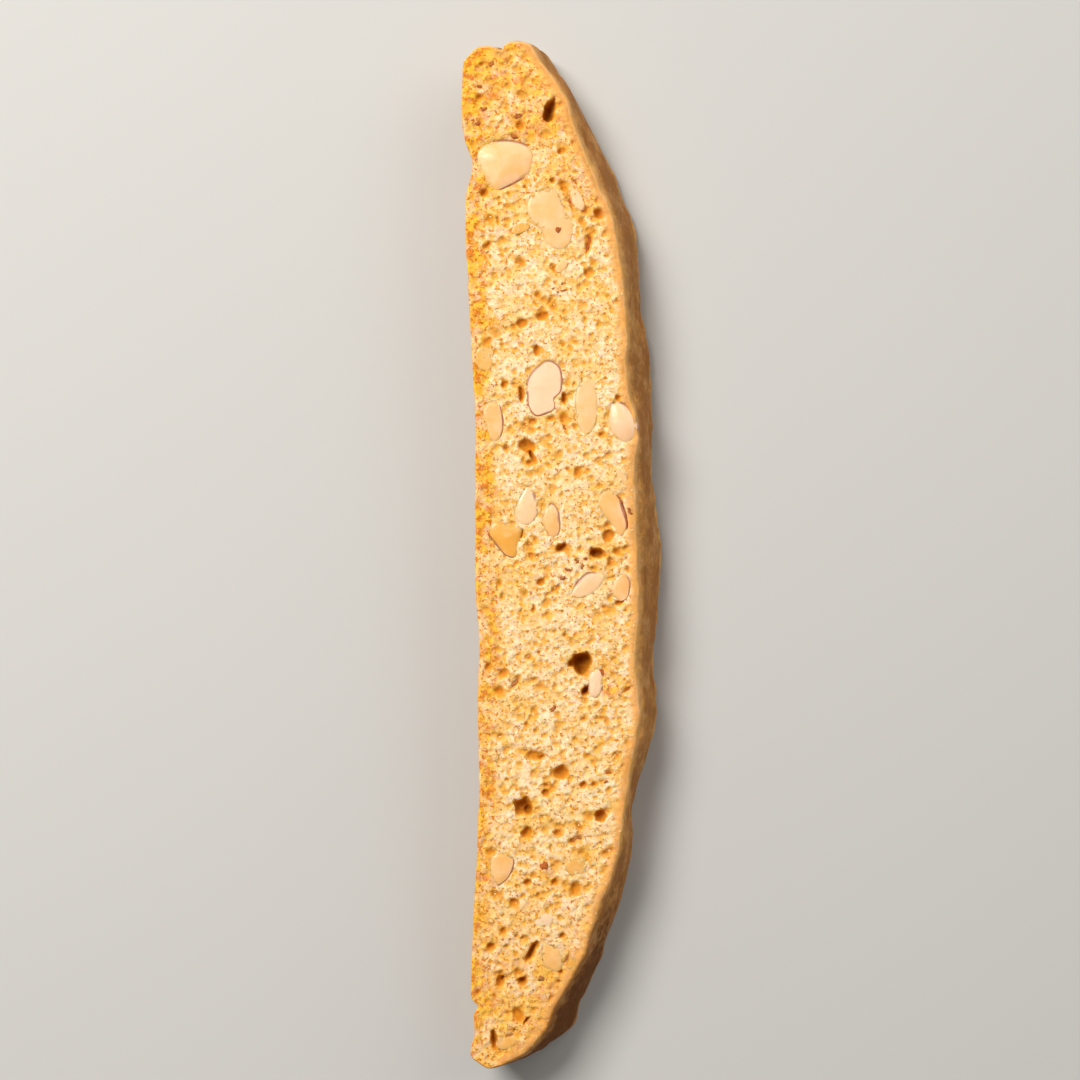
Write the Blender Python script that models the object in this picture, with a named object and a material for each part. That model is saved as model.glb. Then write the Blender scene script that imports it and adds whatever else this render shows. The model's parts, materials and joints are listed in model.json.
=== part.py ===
"""A long almond biscotti, lying on one cut face with the other cut face up.

The loaf was baked as a broad, low dome on a flat tray. This slice runs right across it, so its outline is
the loaf's cross-section: the baked base is the nearly straight long side and the domed crust is the bowed
one. The knife leaned as it cut, so the lower cut face stands further out on the crust's side than the upper
one.

Metres, +Z up. X runs from the base to the domed crust, Y along the slice, Z through its thickness. The
origin is the bottom centre of the slice's box. The tables below are in millimetres: "along" is measured from
the slice's pointed tip and "across" from the base line, both on the upper cut face.
"""

import math
import random
from collections import namedtuple

import bmesh
import bpy
from mathutils import Matrix, Vector

MM = 0.001

THICKNESS = 15.0
LEAN = 4.3  # how far the base's lower edge lies in from its upper one
CLEARANCE = 0.3  # the gap between an almond and the pocket it sits in
OVERSHOOT = 1.0  # how far a pocket's cutter reaches out past the cut face
OUTLINE_STEP = 2.9  # the longest side of the outline's facets

# Landmarks round the upper cut face: along, across, and how far the lower cut face stands out past each.
TIP = ((0.0, 3.4, 4.6), (1.2, 7.8, 6.0))
DOME = (
    (4.6, 11.8, 7.7),
    (9.2, 14.4, 6.7),
    (15.4, 17.8, 6.4),
    (21.0, 20.5, 5.3),
    (29.5, 23.4, 5.6),
    (37.0, 26.0, 4.2),
    (44.2, 27.2, 3.0),
    (51.6, 28.0, 4.3),
    (56.8, 29.2, 5.0),
    (63.0, 29.8, 5.0),
    (70.5, 29.1, 5.1),
    (79.0, 29.7, 5.2),
    (91.0, 29.5, 6.0),
    (104.5, 29.1, 4.8),
    (112.4, 29.6, 4.2),
    (119.0, 27.9, 6.0),
    (127.6, 27.6, 5.7),
    (134.6, 27.3, 4.4),
    (147.6, 25.5, 5.5),
    (154.6, 22.7, 5.8),
    (159.0, 20.9, 6.0),
    (164.4, 18.6, 5.4),
    (171.0, 16.4, 4.0),
    (175.6, 13.1, 4.4),
)
HEAD = (
    (179.6, 10.2, 4.6),
    (180.0, 7.8, 4.4),
    (179.6, 6.3, 4.2),
    (178.5, 5.3, 4.2),
    (179.0, 4.2, 4.2),
    (178.6, 0.9, LEAN),
)
BASE = (
    (176.6, -1.0, LEAN),
    (173.0, -1.5, LEAN),
    (163.8, -1.3, LEAN),
    (159.2, 0.2, LEAN),
    (157.2, 0.3, LEAN),
    (153.2, -0.7, LEAN),
    (148.6, -0.9, LEAN),
    (136.0, -0.4, LEAN),
    (123.4, 0.3, LEAN),
    (113.2, 0.8, LEAN),
    (98.0, 0.8, LEAN),
    (84.0, 0.9, LEAN),
    (74.0, 1.5, LEAN),
    (62.0, 1.3, LEAN),
    (48.0, 1.5, LEAN),
    (35.6, 1.0, LEAN),
    (29.0, 0.6, LEAN),
    (13.2, 0.0, LEAN),
    (11.8, 0.4, LEAN),
    (10.8, 1.3, LEAN),
    (9.6, 0.7, LEAN),
    (5.4, 0.6, LEAN),
    (3.6, 0.0, LEAN),
    (2.0, 0.1, LEAN),
)
OUTLINE = TIP + DOME + HEAD + BASE

# The wall between the cut faces: depth as a share of the thickness, how much of the way out to the lower
# face, and how far it swells out (or, at the worn edges, draws in).
WALL = (
    (0.0, 0.0, -0.35),
    (0.04, 0.04, 0.0),
    (0.28, 0.30, 0.35),
    (0.62, 0.66, 0.45),
    (0.96, 0.96, 0.05),
    (1.0, 1.0, -0.35),
)

ALMOND_SIDES = 12
ALMOND_DEPTH_STEPS = 3
POINTEDNESS = 0.24  # how much narrower an almond is towards its tip
THROUGH_PROFILE = ((0.33, 1.04), (0.66, 0.95), (1.0, 0.8))  # share of the thickness, and the size there

# An almond piece: where the knife met it, its size there, the turn of its long side from +X, how far it
# reaches into the slice, and the share of its length left where it was snapped off square (1 is a whole end).
Almond = namedtuple("Almond", "along across length width turn depth whole")
THROUGH = THICKNESS
UPPER_ALMONDS = (
    Almond(158.3, 6.8, 11.3, 8.6, 8, THROUGH, 0.86),
    Almond(148.9, 13.7, 12.0, 7.4, 118, 5.0, 1.0),
    Almond(119.6, 13.3, 10.9, 6.0, 78, THROUGH, 0.9),
    Almond(116.1, 20.4, 10.6, 4.2, 96, 4.4, 1.0),
    Almond(113.7, 3.9, 8.3, 3.5, 98, 4.6, 0.9),
    Almond(113.6, 26.8, 8.4, 4.6, 112, 5.2, 0.85),
    Almond(98.4, 9.8, 7.1, 4.2, 96, 6.0, 1.0),
    Almond(95.8, 14.2, 6.2, 3.2, 95, 5.0, 1.0),
    Almond(97.2, 24.7, 9.2, 4.2, 113, THROUGH, 1.0),
    Almond(92.9, 6.0, 7.6, 4.7, 124, 4.6, 0.85),
    Almond(84.7, 20.9, 6.6, 3.8, 30, 4.2, 1.0),
    Almond(84.6, 26.4, 5.9, 3.2, 104, 4.4, 0.85),
    Almond(67.8, 22.1, 6.2, 2.5, 98, 5.0, 0.85),
    Almond(34.9, 5.8, 6.0, 4.0, 66, 5.0, 1.0),
    Almond(19.6, 14.3, 6.2, 3.6, 112, 5.4, 0.9),
)
LOWER_ALMONDS = (
    Almond(169.0, 8.0, 7.2, 4.4, 62, 4.8, 1.0),
    Almond(143.0, 5.2, 8.8, 4.6, 84, 5.0, 1.0),
    Almond(137.0, 20.4, 10.4, 5.4, 105, 5.2, 0.86),
    Almond(106.2, 6.4, 7.4, 5.2, 20, 5.0, 0.8),
    Almond(80.0, 12.0, 11.2, 5.6, 100, 5.4, 1.0),
    Almond(62.5, 24.4, 7.4, 4.2, 76, 4.6, 1.0),
    Almond(55.0, 6.6, 9.0, 4.4, 118, 5.0, 0.85),
    Almond(38.5, 17.4, 6.6, 5.4, 150, 4.8, 0.8),
    Almond(17.0, 8.4, 6.2, 3.8, 70, 4.6, 1.0),
)

# A gas pocket opened by the knife: place, size of its mouth, turn of its long side from +X, and depth.
Pore = namedtuple("Pore", "along across length width turn depth")
UPPER_PORES = (
    Pore(167.7, 14.0, 4.5, 2.1, 72, 2.8),
    Pore(149.8, 22.8, 2.2, 1.8, 150, 1.6),
    Pore(131.8, 12.8, 2.9, 1.5, 20, 1.3),
    Pore(130.5, 9.2, 2.7, 1.5, 10, 1.3),
    Pore(109.0, 10.1, 3.2, 2.5, 150, 2.4),
    Pore(93.0, 24.4, 2.4, 2.2, 20, 1.9),
    Pore(90.2, 22.3, 3.3, 2.0, 165, 2.4),
    Pore(91.2, 16.2, 2.5, 1.5, 30, 2.0),
    Pore(70.6, 19.2, 4.5, 3.8, 58, 4.0),
    Pore(54.7, 11.3, 3.6, 2.0, 174, 1.8),
    Pore(51.7, 16.0, 3.2, 2.8, 170, 2.0),
    Pore(45.8, 9.6, 4.5, 4.0, 20, 3.6),
    Pore(44.0, 23.1, 2.4, 2.3, 45, 1.9),
    Pore(41.2, 10.0, 2.4, 1.6, 30, 1.4),
    Pore(31.2, 18.6, 2.9, 2.0, 70, 1.9),
    Pore(20.3, 10.9, 4.0, 1.9, 50, 2.4),
    Pore(15.2, 5.4, 2.8, 2.0, 40, 2.1),
    Pore(9.2, 8.8, 4.0, 2.6, 115, 2.2),
    Pore(5.0, 4.3, 4.0, 1.3, 98, 2.0),
)
LOWER_PORE_COUNT = 16
LOWER_PORE_LENGTHS = (2.2, 4.4)
PORE_SEGMENTS = 9
PORE_RINGS = 6
PORE_ROUGHNESS = 0.13  # how far a gas pocket's wall strays from an ellipsoid, as a share of its radius

CRUMB_COLOUR = (0.84, 0.50, 0.19, 1.0)
ALMOND_COLOUR = (0.90, 0.62, 0.30, 1.0)


def smooth_loop(landmarks, step):
    """Points on a closed Catmull-Rom curve through the landmarks, at most about a step apart."""
    count = len(landmarks)
    points = []
    for i in range(count):
        before, start, end, after = (Vector(landmarks[(i + k) % count]) for k in (-1, 0, 1, 2))
        pieces = max(1, math.ceil((end - start).xy.length / step))
        for k in range(pieces):
            t = k / pieces
            bend = 2 * before - 5 * start + 4 * end - after
            twist = 3 * (start - end) + after - before
            points.append(start + 0.5 * t * ((end - before) + t * (bend + t * twist)))
    return points


def outward_normals(points):
    """The unit normal of a closed outline at each of its points, in (across, along), facing out."""
    normals = []
    for i, point in enumerate(points):
        run = points[(i + 1) % len(points)] - points[i - 1]
        normals.append(Vector((run.x, -run.y)).normalized())
    return normals


def wall_rings():
    """The slice's rings of points from the upper face down to the lower, as (across, along, height)."""
    outline = smooth_loop(OUTLINE, OUTLINE_STEP)
    normals = outward_normals(outline)
    rings = []
    for depth, way_out, swell in WALL:
        ring = []
        for (along, across, stands_out), normal in zip(outline, normals):
            across += stands_out * way_out + swell * normal.x
            along += swell * normal.y
            ring.append(Vector((across, along, THICKNESS * (1 - depth))))
        rings.append(ring)
    return rings


def box_centre(points):
    """The middle of the points' box, across and along."""
    spans = [[point[axis] for point in points] for axis in (0, 1)]
    return Vector([(max(span) + min(span)) / 2 for span in spans])


RINGS = wall_rings()
BOX_CENTRE = box_centre([point for ring in RINGS for point in ring])


def place(along, across, height):
    """A point of the tables, moved along the knife's lean to this height, as a point of the model."""
    leaned = across + LEAN * (1 - height / THICKNESS)
    return Vector((leaned - BOX_CENTRE.x, along - BOX_CENTRE.y, height)) * MM


def material(name, colour, roughness):
    made = bpy.data.materials.new(name)
    made.use_nodes = True
    shader = made.node_tree.nodes["Principled BSDF"]
    shader.inputs["Base Color"].default_value = colour
    shader.inputs["Roughness"].default_value = roughness
    made.diffuse_color = colour
    return made


def solid_from(name, shape, collection, smooth_angle=math.radians(35)):
    """An object holding the bmesh, whose faces are turned to face out."""
    bmesh.ops.recalc_face_normals(shape, faces=shape.faces)
    mesh = bpy.data.meshes.new(name)
    shape.to_mesh(mesh)
    shape.free()
    mesh.shade_smooth()
    mesh.set_sharp_from_angle(angle=smooth_angle)
    made = bpy.data.objects.new(name, mesh)
    collection.objects.link(made)
    return made


def bridge(shape, upper, lower):
    """Quads between two rings of vertices."""
    count = len(upper)
    for i in range(count):
        j = (i + 1) % count
        shape.faces.new((upper[i], upper[j], lower[j], lower[i]))


def crumb_slice():
    """The whole slice before its almonds and gas pockets are cut out of it."""
    shape = bmesh.new()
    offset = BOX_CENTRE.to_3d()
    rings = [[shape.verts.new((point - offset) * MM) for point in ring] for ring in RINGS]
    for upper, lower in zip(rings, rings[1:]):
        bridge(shape, upper, lower)
    shape.faces.new(rings[0])
    shape.faces.new(reversed(rings[-1]))
    return solid_from("crumb", shape, bpy.context.scene.collection)


def almond_outline(almond, margin):
    """The almond's section at the knife's cut, in its own axes, a margin larger all round."""
    half_length = almond.length / 2 + margin
    half_width = almond.width / 2 + margin
    snapped = (2 * almond.whole - 1) * almond.length / 2 + margin
    outline = []
    for k in range(ALMOND_SIDES):
        angle = math.tau * (k + 0.5) / ALMOND_SIDES
        x = half_length * math.cos(angle)
        y = half_width * math.sin(angle) * (1 - POINTEDNESS * math.cos(angle))
        outline.append(Vector((min(x, snapped), y, 0)))
    return outline


def almond_levels(almond, margin, overshoot):
    """The almond's size at each depth below the cut face, as (depth, share of its size at the face)."""
    levels = [(-overshoot, 1.0)] if overshoot else []
    levels.append((0.0, 1.0))
    if almond.depth >= THICKNESS:
        levels += [(THICKNESS * share, scale) for share, scale in THROUGH_PROFILE]
        if overshoot:
            levels.append((THICKNESS + overshoot, THROUGH_PROFILE[-1][1]))
        return levels
    for k in range(1, ALMOND_DEPTH_STEPS + 1):
        angle = math.pi / 2 * k / (ALMOND_DEPTH_STEPS + 0.5)
        levels.append(((almond.depth + margin) * math.sin(angle), math.cos(angle) ** 0.8))
    return levels


def almond_object(name, almond, from_top, collection, margin=0.0, overshoot=0.0):
    """An almond cut flush with a face or, with a margin and an overshoot, the cutter for its pocket."""
    inward = -1 if from_top else 1
    turn = math.radians(almond.turn)
    step = Vector((math.cos(turn), -math.sin(turn), 0)) * LEAN / THICKNESS * -inward
    step.z = inward
    outline = almond_outline(almond, margin)
    shape = bmesh.new()
    rings = []
    for depth, scale in almond_levels(almond, margin, overshoot):
        rings.append([shape.verts.new((point * scale + step * depth) * MM) for point in outline])
    for upper, lower in zip(rings, rings[1:]):
        bridge(shape, upper, lower)
    shape.faces.new(rings[0])
    shape.faces.new(reversed(rings[-1]))
    made = solid_from(name, shape, collection)
    made.location = place(almond.along, almond.across, THICKNESS if from_top else 0.0)
    made.rotation_euler.z = turn
    return made


def pore_cutter(name, pore, from_top, collection, noise):
    """A rough ellipsoid centred on the cut face, so that half of it opens a gas pocket there."""
    shape = bmesh.new()
    bmesh.ops.create_uvsphere(shape, u_segments=PORE_SEGMENTS, v_segments=PORE_RINGS, radius=1)
    for vertex in shape.verts:
        vertex.co *= noise.uniform(1 - PORE_ROUGHNESS, 1 + PORE_ROUGHNESS)
    radii = Vector((pore.length / 2, pore.width / 2, pore.depth)) * MM
    bmesh.ops.transform(shape, matrix=Matrix.Diagonal(radii.to_4d()), verts=shape.verts)
    made = solid_from(name, shape, collection)
    made.location = place(pore.along, pore.across, THICKNESS if from_top else 0.0)
    made.rotation_euler.z = math.radians(pore.turn)
    return made


def upper_edge_span(along):
    """The least and greatest across of the upper cut face at this distance along the slice."""
    near = [point.x for point in RINGS[0] if abs(point.y - along) < 2 * OUTLINE_STEP]
    return min(near), max(near)


def lower_pores(noise):
    """Gas pockets spread over the lower cut face, clear of its edges, its almonds and each other."""
    taken = [(a.along, a.across, a.length / 2) for a in LOWER_ALMONDS]
    taken += [(a.along, a.across, a.length / 2) for a in UPPER_ALMONDS if a.depth >= THICKNESS]
    pores = []
    edge_margin, wall_margin = 3.0, 0.8
    first, last = 6.0, 174.0
    while len(pores) < LOWER_PORE_COUNT:
        length = noise.uniform(*LOWER_PORE_LENGTHS)
        along = noise.uniform(first, last)
        low, high = upper_edge_span(along)
        across = noise.uniform(low + edge_margin, high - edge_margin)
        apart = (math.hypot(along - a, across - c) - r - length / 2 for a, c, r in taken)
        if min(apart) > wall_margin:
            width = length * noise.uniform(0.55, 0.95)
            depth = length * noise.uniform(0.55, 0.85)
            pores.append(Pore(along, across, length, width, noise.uniform(0, 180), depth))
            taken.append((along, across, length / 2))
    return pores


def cut(body, cutters):
    modifier = body.modifiers.new(cutters.name, "BOOLEAN")
    modifier.operation = "DIFFERENCE"
    modifier.operand_type = "COLLECTION"
    modifier.collection = cutters
    modifier.solver = "EXACT"


def settle(body, sharp_angle=math.radians(35)):
    """Make the cuts part of the body's own mesh, keep the cut edges crisp, and clear the cutters away."""
    cutters = [cutter for modifier in body.modifiers for cutter in modifier.collection.objects]
    cut_body = body.evaluated_get(bpy.context.evaluated_depsgraph_get())
    mesh = bpy.data.meshes.new_from_object(cut_body)
    mesh.set_sharp_from_angle(angle=sharp_angle)
    body.modifiers.clear()
    body.data = mesh
    for cutter in cutters:
        bpy.data.objects.remove(cutter, do_unlink=True)


def new_collection(name):
    made = bpy.data.collections.new(name)
    bpy.context.scene.collection.children.link(made)
    return made


def main():
    for old in list(bpy.data.objects):
        bpy.data.objects.remove(old, do_unlink=True)
    scene_collection = bpy.context.scene.collection
    noise = random.Random(11)
    crumb = crumb_slice()
    crumb.data.materials.append(material("baked_crumb", CRUMB_COLOUR, 0.85))
    almond_finish = material("toasted_almond", ALMOND_COLOUR, 0.55)
    pockets = new_collection("almond_pockets")
    pores = new_collection("gas_pockets")
    faces = (
        ("upper", True, UPPER_ALMONDS, UPPER_PORES),
        ("lower", False, LOWER_ALMONDS, lower_pores(noise)),
    )
    for face, from_top, almonds, openings in faces:
        for number, almond in enumerate(almonds, 1):
            piece = almond_object(f"almond_{face}_{number:02d}", almond, from_top, scene_collection)
            piece.data.materials.append(almond_finish)
            piece.parent = crumb
            almond_object(f"pocket_{face}_{number:02d}", almond, from_top, pockets, CLEARANCE, OVERSHOOT)
        for number, pore in enumerate(openings, 1):
            pore_cutter(f"pore_{face}_{number:02d}", pore, from_top, pores, noise)
    cut(crumb, pockets)
    cut(crumb, pores)
    settle(crumb)


main()
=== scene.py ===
"""Dresses the long almond biscotti: its open crumb and baked crust, the sliced almonds with their skins,
small chips, flakes and crumbs on both cut faces, and a plain studio round it.

Laid out as an add-on. Lengths in the tables are in millimetres: "along" is measured from the slice's pointed
tip and "across" from its baked base line, as on the upper cut face. The model itself is in metres, +Z up.
"""

import json
import math
from collections import namedtuple

import bmesh
import bpy
import numpy as np
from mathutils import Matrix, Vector, noise
from mathutils.bvhtree import BVHTree
from mathutils.geometry import delaunay_2d_cdt
from mathutils.kdtree import KDTree

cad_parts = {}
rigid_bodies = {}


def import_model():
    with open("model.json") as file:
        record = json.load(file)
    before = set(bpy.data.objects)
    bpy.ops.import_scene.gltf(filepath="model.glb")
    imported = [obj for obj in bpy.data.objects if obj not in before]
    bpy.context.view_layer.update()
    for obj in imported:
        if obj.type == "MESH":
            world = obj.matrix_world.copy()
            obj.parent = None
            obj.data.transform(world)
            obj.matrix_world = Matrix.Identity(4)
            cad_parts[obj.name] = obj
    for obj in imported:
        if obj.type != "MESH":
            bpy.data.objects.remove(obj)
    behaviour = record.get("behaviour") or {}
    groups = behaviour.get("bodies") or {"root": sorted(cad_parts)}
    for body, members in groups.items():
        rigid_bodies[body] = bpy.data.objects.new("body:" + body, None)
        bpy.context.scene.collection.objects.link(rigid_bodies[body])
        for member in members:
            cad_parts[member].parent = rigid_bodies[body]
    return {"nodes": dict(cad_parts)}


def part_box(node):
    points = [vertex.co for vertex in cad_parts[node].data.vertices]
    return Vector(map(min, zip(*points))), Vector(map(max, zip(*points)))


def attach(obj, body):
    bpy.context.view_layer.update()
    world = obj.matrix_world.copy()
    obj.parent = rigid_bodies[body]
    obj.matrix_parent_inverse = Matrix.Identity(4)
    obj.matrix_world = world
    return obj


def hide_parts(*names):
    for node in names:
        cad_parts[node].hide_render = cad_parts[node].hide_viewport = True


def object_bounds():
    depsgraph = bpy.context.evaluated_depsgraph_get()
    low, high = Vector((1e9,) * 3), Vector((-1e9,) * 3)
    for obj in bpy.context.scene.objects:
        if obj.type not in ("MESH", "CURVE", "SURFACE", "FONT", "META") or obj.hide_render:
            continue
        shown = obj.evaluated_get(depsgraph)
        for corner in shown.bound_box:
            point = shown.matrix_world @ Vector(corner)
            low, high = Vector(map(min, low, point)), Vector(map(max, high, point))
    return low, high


bl_info = {
    "name": "Almond Biscotti",
    "version": (1, 0, 0),
    "blender": (4, 5, 0),
    "location": "View3D > Sidebar > Biscotti",
    "description": "Builds the crumb, crust, almonds and crumbs of a long almond biscotti",
    "category": "Object",
}

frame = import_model()
CAD_LOW, CAD_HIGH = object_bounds()

MM = 0.001
THICKNESS = (CAD_HIGH.z - CAD_LOW.z) / MM
BODY = "root"

# Seeds of the random draws for each group of pieces.
CRUMB_SEED = 21
ALMOND_SEED = 4
BITS_SEED = 33
GRAIN_SEED = 77

# Where the tables' along 0, across 0 lies, from the middle of the slice, and how far the knife's lean moves
# that point by the lower cut face.
TIP_ALONG = -90.00
BASE_ACROSS = -16.99
LEAN = 4.3

# Heights of the CAD crust's rings that the crust's shape is read from.
CRUST_RINGS = (14.4, 10.8, 5.7, 0.6)
CRUST_POINTS = 900
CRUST_ROWS = 19
# The worn edge between crust and cut face: depth below the face, and how far it draws in there.
WORN_EDGE = ((0.0, 0.36), (0.06, 0.19), (0.18, 0.07), (0.40, 0.0))

# Points round each almond's rim, and rows down the wall of a hole that an almond runs right through.
RIM_POINTS = 84
HOLE_ROWS = 5
# Degrees over which the skin thins out at each end of an arc that kept it.
SKIN_FADE = 12.0
# How near an almond's edge in the crumb may come to the slice's own outline.
MOUTH_MARGIN = 0.35
# The CAD's gas pockets in the lower face end at about this depth; a deeper hollow there is an almond's.
DEEPEST_POCKET = 4.2
# Longest way from one corner of a CAD crust ring to the next.
LONGEST_RING_STEP = 12.0

# Rings of an almond's cut face: shares of the way from its middle to the last ring before the rim, and then
# each ring beside the rim. That lies so many skins plus so many millimetres in, and drops so far where skin
# keeps the rim crisp and where crumb hides it.
CORE_SHARES = (0.08, 0.24, 0.42, 0.62, 0.82)
RimRing = namedtuple("RimRing", "skins inset crisp_drop soft_drop")
RIM_RINGS = (
    RimRing(0.0, 0.80, 0.0, 0.0),
    RimRing(0.0, 0.45, 0.0, 0.04),
    RimRing(1.3, 0.0, 0.02, 0.09),
    RimRing(1.0, 0.0, 0.0, 0.12),
    RimRing(0.45, 0.0, 0.03, 0.22),
    RimRing(0.0, 0.0, 0.12, 0.32),
)

# Small pores and loose grains on the hidden lower face, as shares of those on the upper one, and its bits.
LOWER_PORES = 0.8
LOWER_GRAINS = 0.6
LOWER_FLAKES = 14
LOWER_CHIPS = 9
# Shortest and longest of the lower face's bits, and how much level crumb each needs round it.
LOWER_BIT_LENGTHS = (1.2, 3.4)
LOWER_BIT_CLEARANCE = 3.0
GRAIN_CLEARANCE = 0.6
# How far the crumb may lie off its cut face and still count as level.
LEVEL_WITHIN = 0.9
# Height of a chip of almond before its top is cut flat, and thickness of a flake of skin.
CHIP_HEIGHT = 2.2
FLAKE_THICKNESS = 0.22
# How far the middle of a flake of skin lies above the crumb.
FLAKE_LIFT = 0.05

# The floor lies just below the lowest point of the lumpy underside.
FLOOR_HEIGHT = -0.4 * MM
LIGHT_DISTANCE = 0.9
LAMP_COLOUR = (1.0, 0.97, 0.92)
SKY_COLOUR = (1.0, 0.98, 0.95, 1.0)
FLOOR_CLOUD_COLOUR = (0.45, 0.45, 0.45, 1.0)

# Gas pockets in the upper cut face: along, across, length, width, turn from +X, depth. A ragged one is
# several that overlap.
POCKETS = (
    (167.7, 14.0, 4.5, 2.1, 72, 3.4),
    (169.4, 14.6, 1.8, 0.9, 60, 1.4),
    (149.8, 22.8, 2.2, 1.8, 150, 1.6),
    (131.8, 12.8, 2.8, 1.6, 20, 1.25),
    (130.5, 9.2, 2.5, 1.6, 10, 1.1),
    (109.0, 10.1, 3.2, 2.5, 150, 1.3),
    (107.4, 10.9, 2.4, 0.9, 115, 2.2),
    (93.2, 24.4, 2.5, 2.2, 20, 1.2),
    (90.2, 22.3, 3.3, 2.0, 165, 2.4),
    (91.2, 16.2, 2.5, 1.5, 30, 2.0),
    (71.0, 19.8, 4.2, 3.4, 60, 4.0),
    (70.9, 18.4, 3.2, 1.9, 10, 2.4),
    (69.9, 19.8, 2.6, 2.2, 90, 4.0),
    (54.7, 11.3, 3.6, 2.0, 174, 0.9),
    (54.4, 12.7, 1.5, 0.6, 30, 1.3),
    (51.7, 16.0, 3.0, 2.6, 170, 1.6),
    (45.8, 9.4, 3.6, 3.2, 20, 2.2),
    (45.3, 10.2, 2.2, 1.8, 60, 3.0),
    (44.0, 23.1, 2.4, 2.3, 45, 1.9),
    (41.2, 10.0, 2.4, 1.6, 30, 1.4),
    (31.2, 18.6, 2.9, 2.4, 70, 0.8),
    (20.3, 10.9, 4.2, 1.4, 58, 2.0),
    (15.2, 5.4, 2.8, 1.7, 75, 1.2),
    (15.6, 5.9, 1.4, 0.7, 80, 2.0),
    (9.2, 8.6, 3.6, 2.0, 115, 0.9),
    (8.2, 9.9, 2.2, 0.7, 50, 1.5),
    (5.0, 4.3, 4.0, 1.3, 98, 2.0),
    (160.8, 16.1, 1.9, 1.2, 30, 1.1),
    (153.3, 2.5, 1.9, 1.6, 0, 1.2),
    (155.5, 14.5, 1.2, 1.1, 0, 0.9),
    (154.3, 16.6, 1.4, 1.3, 0, 1.0),
    (154.5, 9.7, 1.0, 1.0, 0, 0.8),
    (148.4, 4.9, 1.8, 0.7, 90, 0.8),
    (125.8, 11.8, 1.9, 1.3, 100, 1.2),
    (126.7, 16.4, 1.0, 1.0, 0, 0.8),
    (119.8, 6.1, 1.6, 1.4, 0, 1.1),
    (118.0, 9.1, 3.2, 1.2, 95, 1.5),
    (117.4, 16.6, 2.5, 1.2, 95, 1.5),
    (117.5, 26.1, 1.3, 1.3, 0, 1.0),
    (106.7, 11.3, 2.2, 1.1, 110, 1.0),
    (113.3, 11.1, 1.9, 1.3, 20, 1.1),
    (85.1, 12.5, 1.8, 1.2, 30, 1.2),
    (83.9, 15.1, 2.2, 1.2, 35, 0.7),
    (80.4, 11.2, 2.0, 0.8, 90, 0.8),
    (81.5, 26.3, 1.8, 1.2, 20, 1.0),
    (80.1, 27.5, 0.8, 0.8, 0, 0.7),
    (75.8, 16.7, 1.0, 1.0, 0, 0.8),
    (72.7, 12.1, 0.9, 0.9, 0, 0.8),
    (74.7, 21.3, 2.2, 1.0, 45, 0.5),
    (66.0, 20.4, 2.0, 1.5, 60, 2.2),
    (93.7, 9.0, 1.8, 1.0, 90, 0.9),
    (49.5, 20.0, 1.6, 1.3, 20, 1.1),
    (48.1, 13.3, 1.7, 1.6, 0, 1.2),
    (50.5, 6.5, 1.0, 1.0, 0, 0.8),
    (41.0, 15.4, 1.7, 1.4, 10, 1.1),
    (32.4, 14.9, 1.5, 1.3, 10, 1.1),
    (32.5, 10.2, 1.8, 1.3, 10, 1.2),
    (23.0, 16.3, 1.6, 1.0, 30, 1.0),
    (15.2, 9.2, 1.7, 1.6, 0, 1.8),
    (16.6, 16.1, 1.2, 1.2, 0, 1.0),
    (21.3, 3.8, 1.7, 1.4, 0, 1.2),
)

# Toasted patches of the upper cut face: along, across, width, strength.
TOASTED = (
    (67.7, 24.6, 6.5, 0.9),
    (150.0, 3.5, 7.0, 0.5),
    (72.0, 3.6, 6.0, 0.5),
    (130.5, 3.5, 6.0, 0.7),
    (141.0, 28.2, 9.0, 0.45),
    (24.0, 3.5, 8.0, 0.6),
    (33.5, 14.0, 7.0, 0.4),
)

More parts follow.
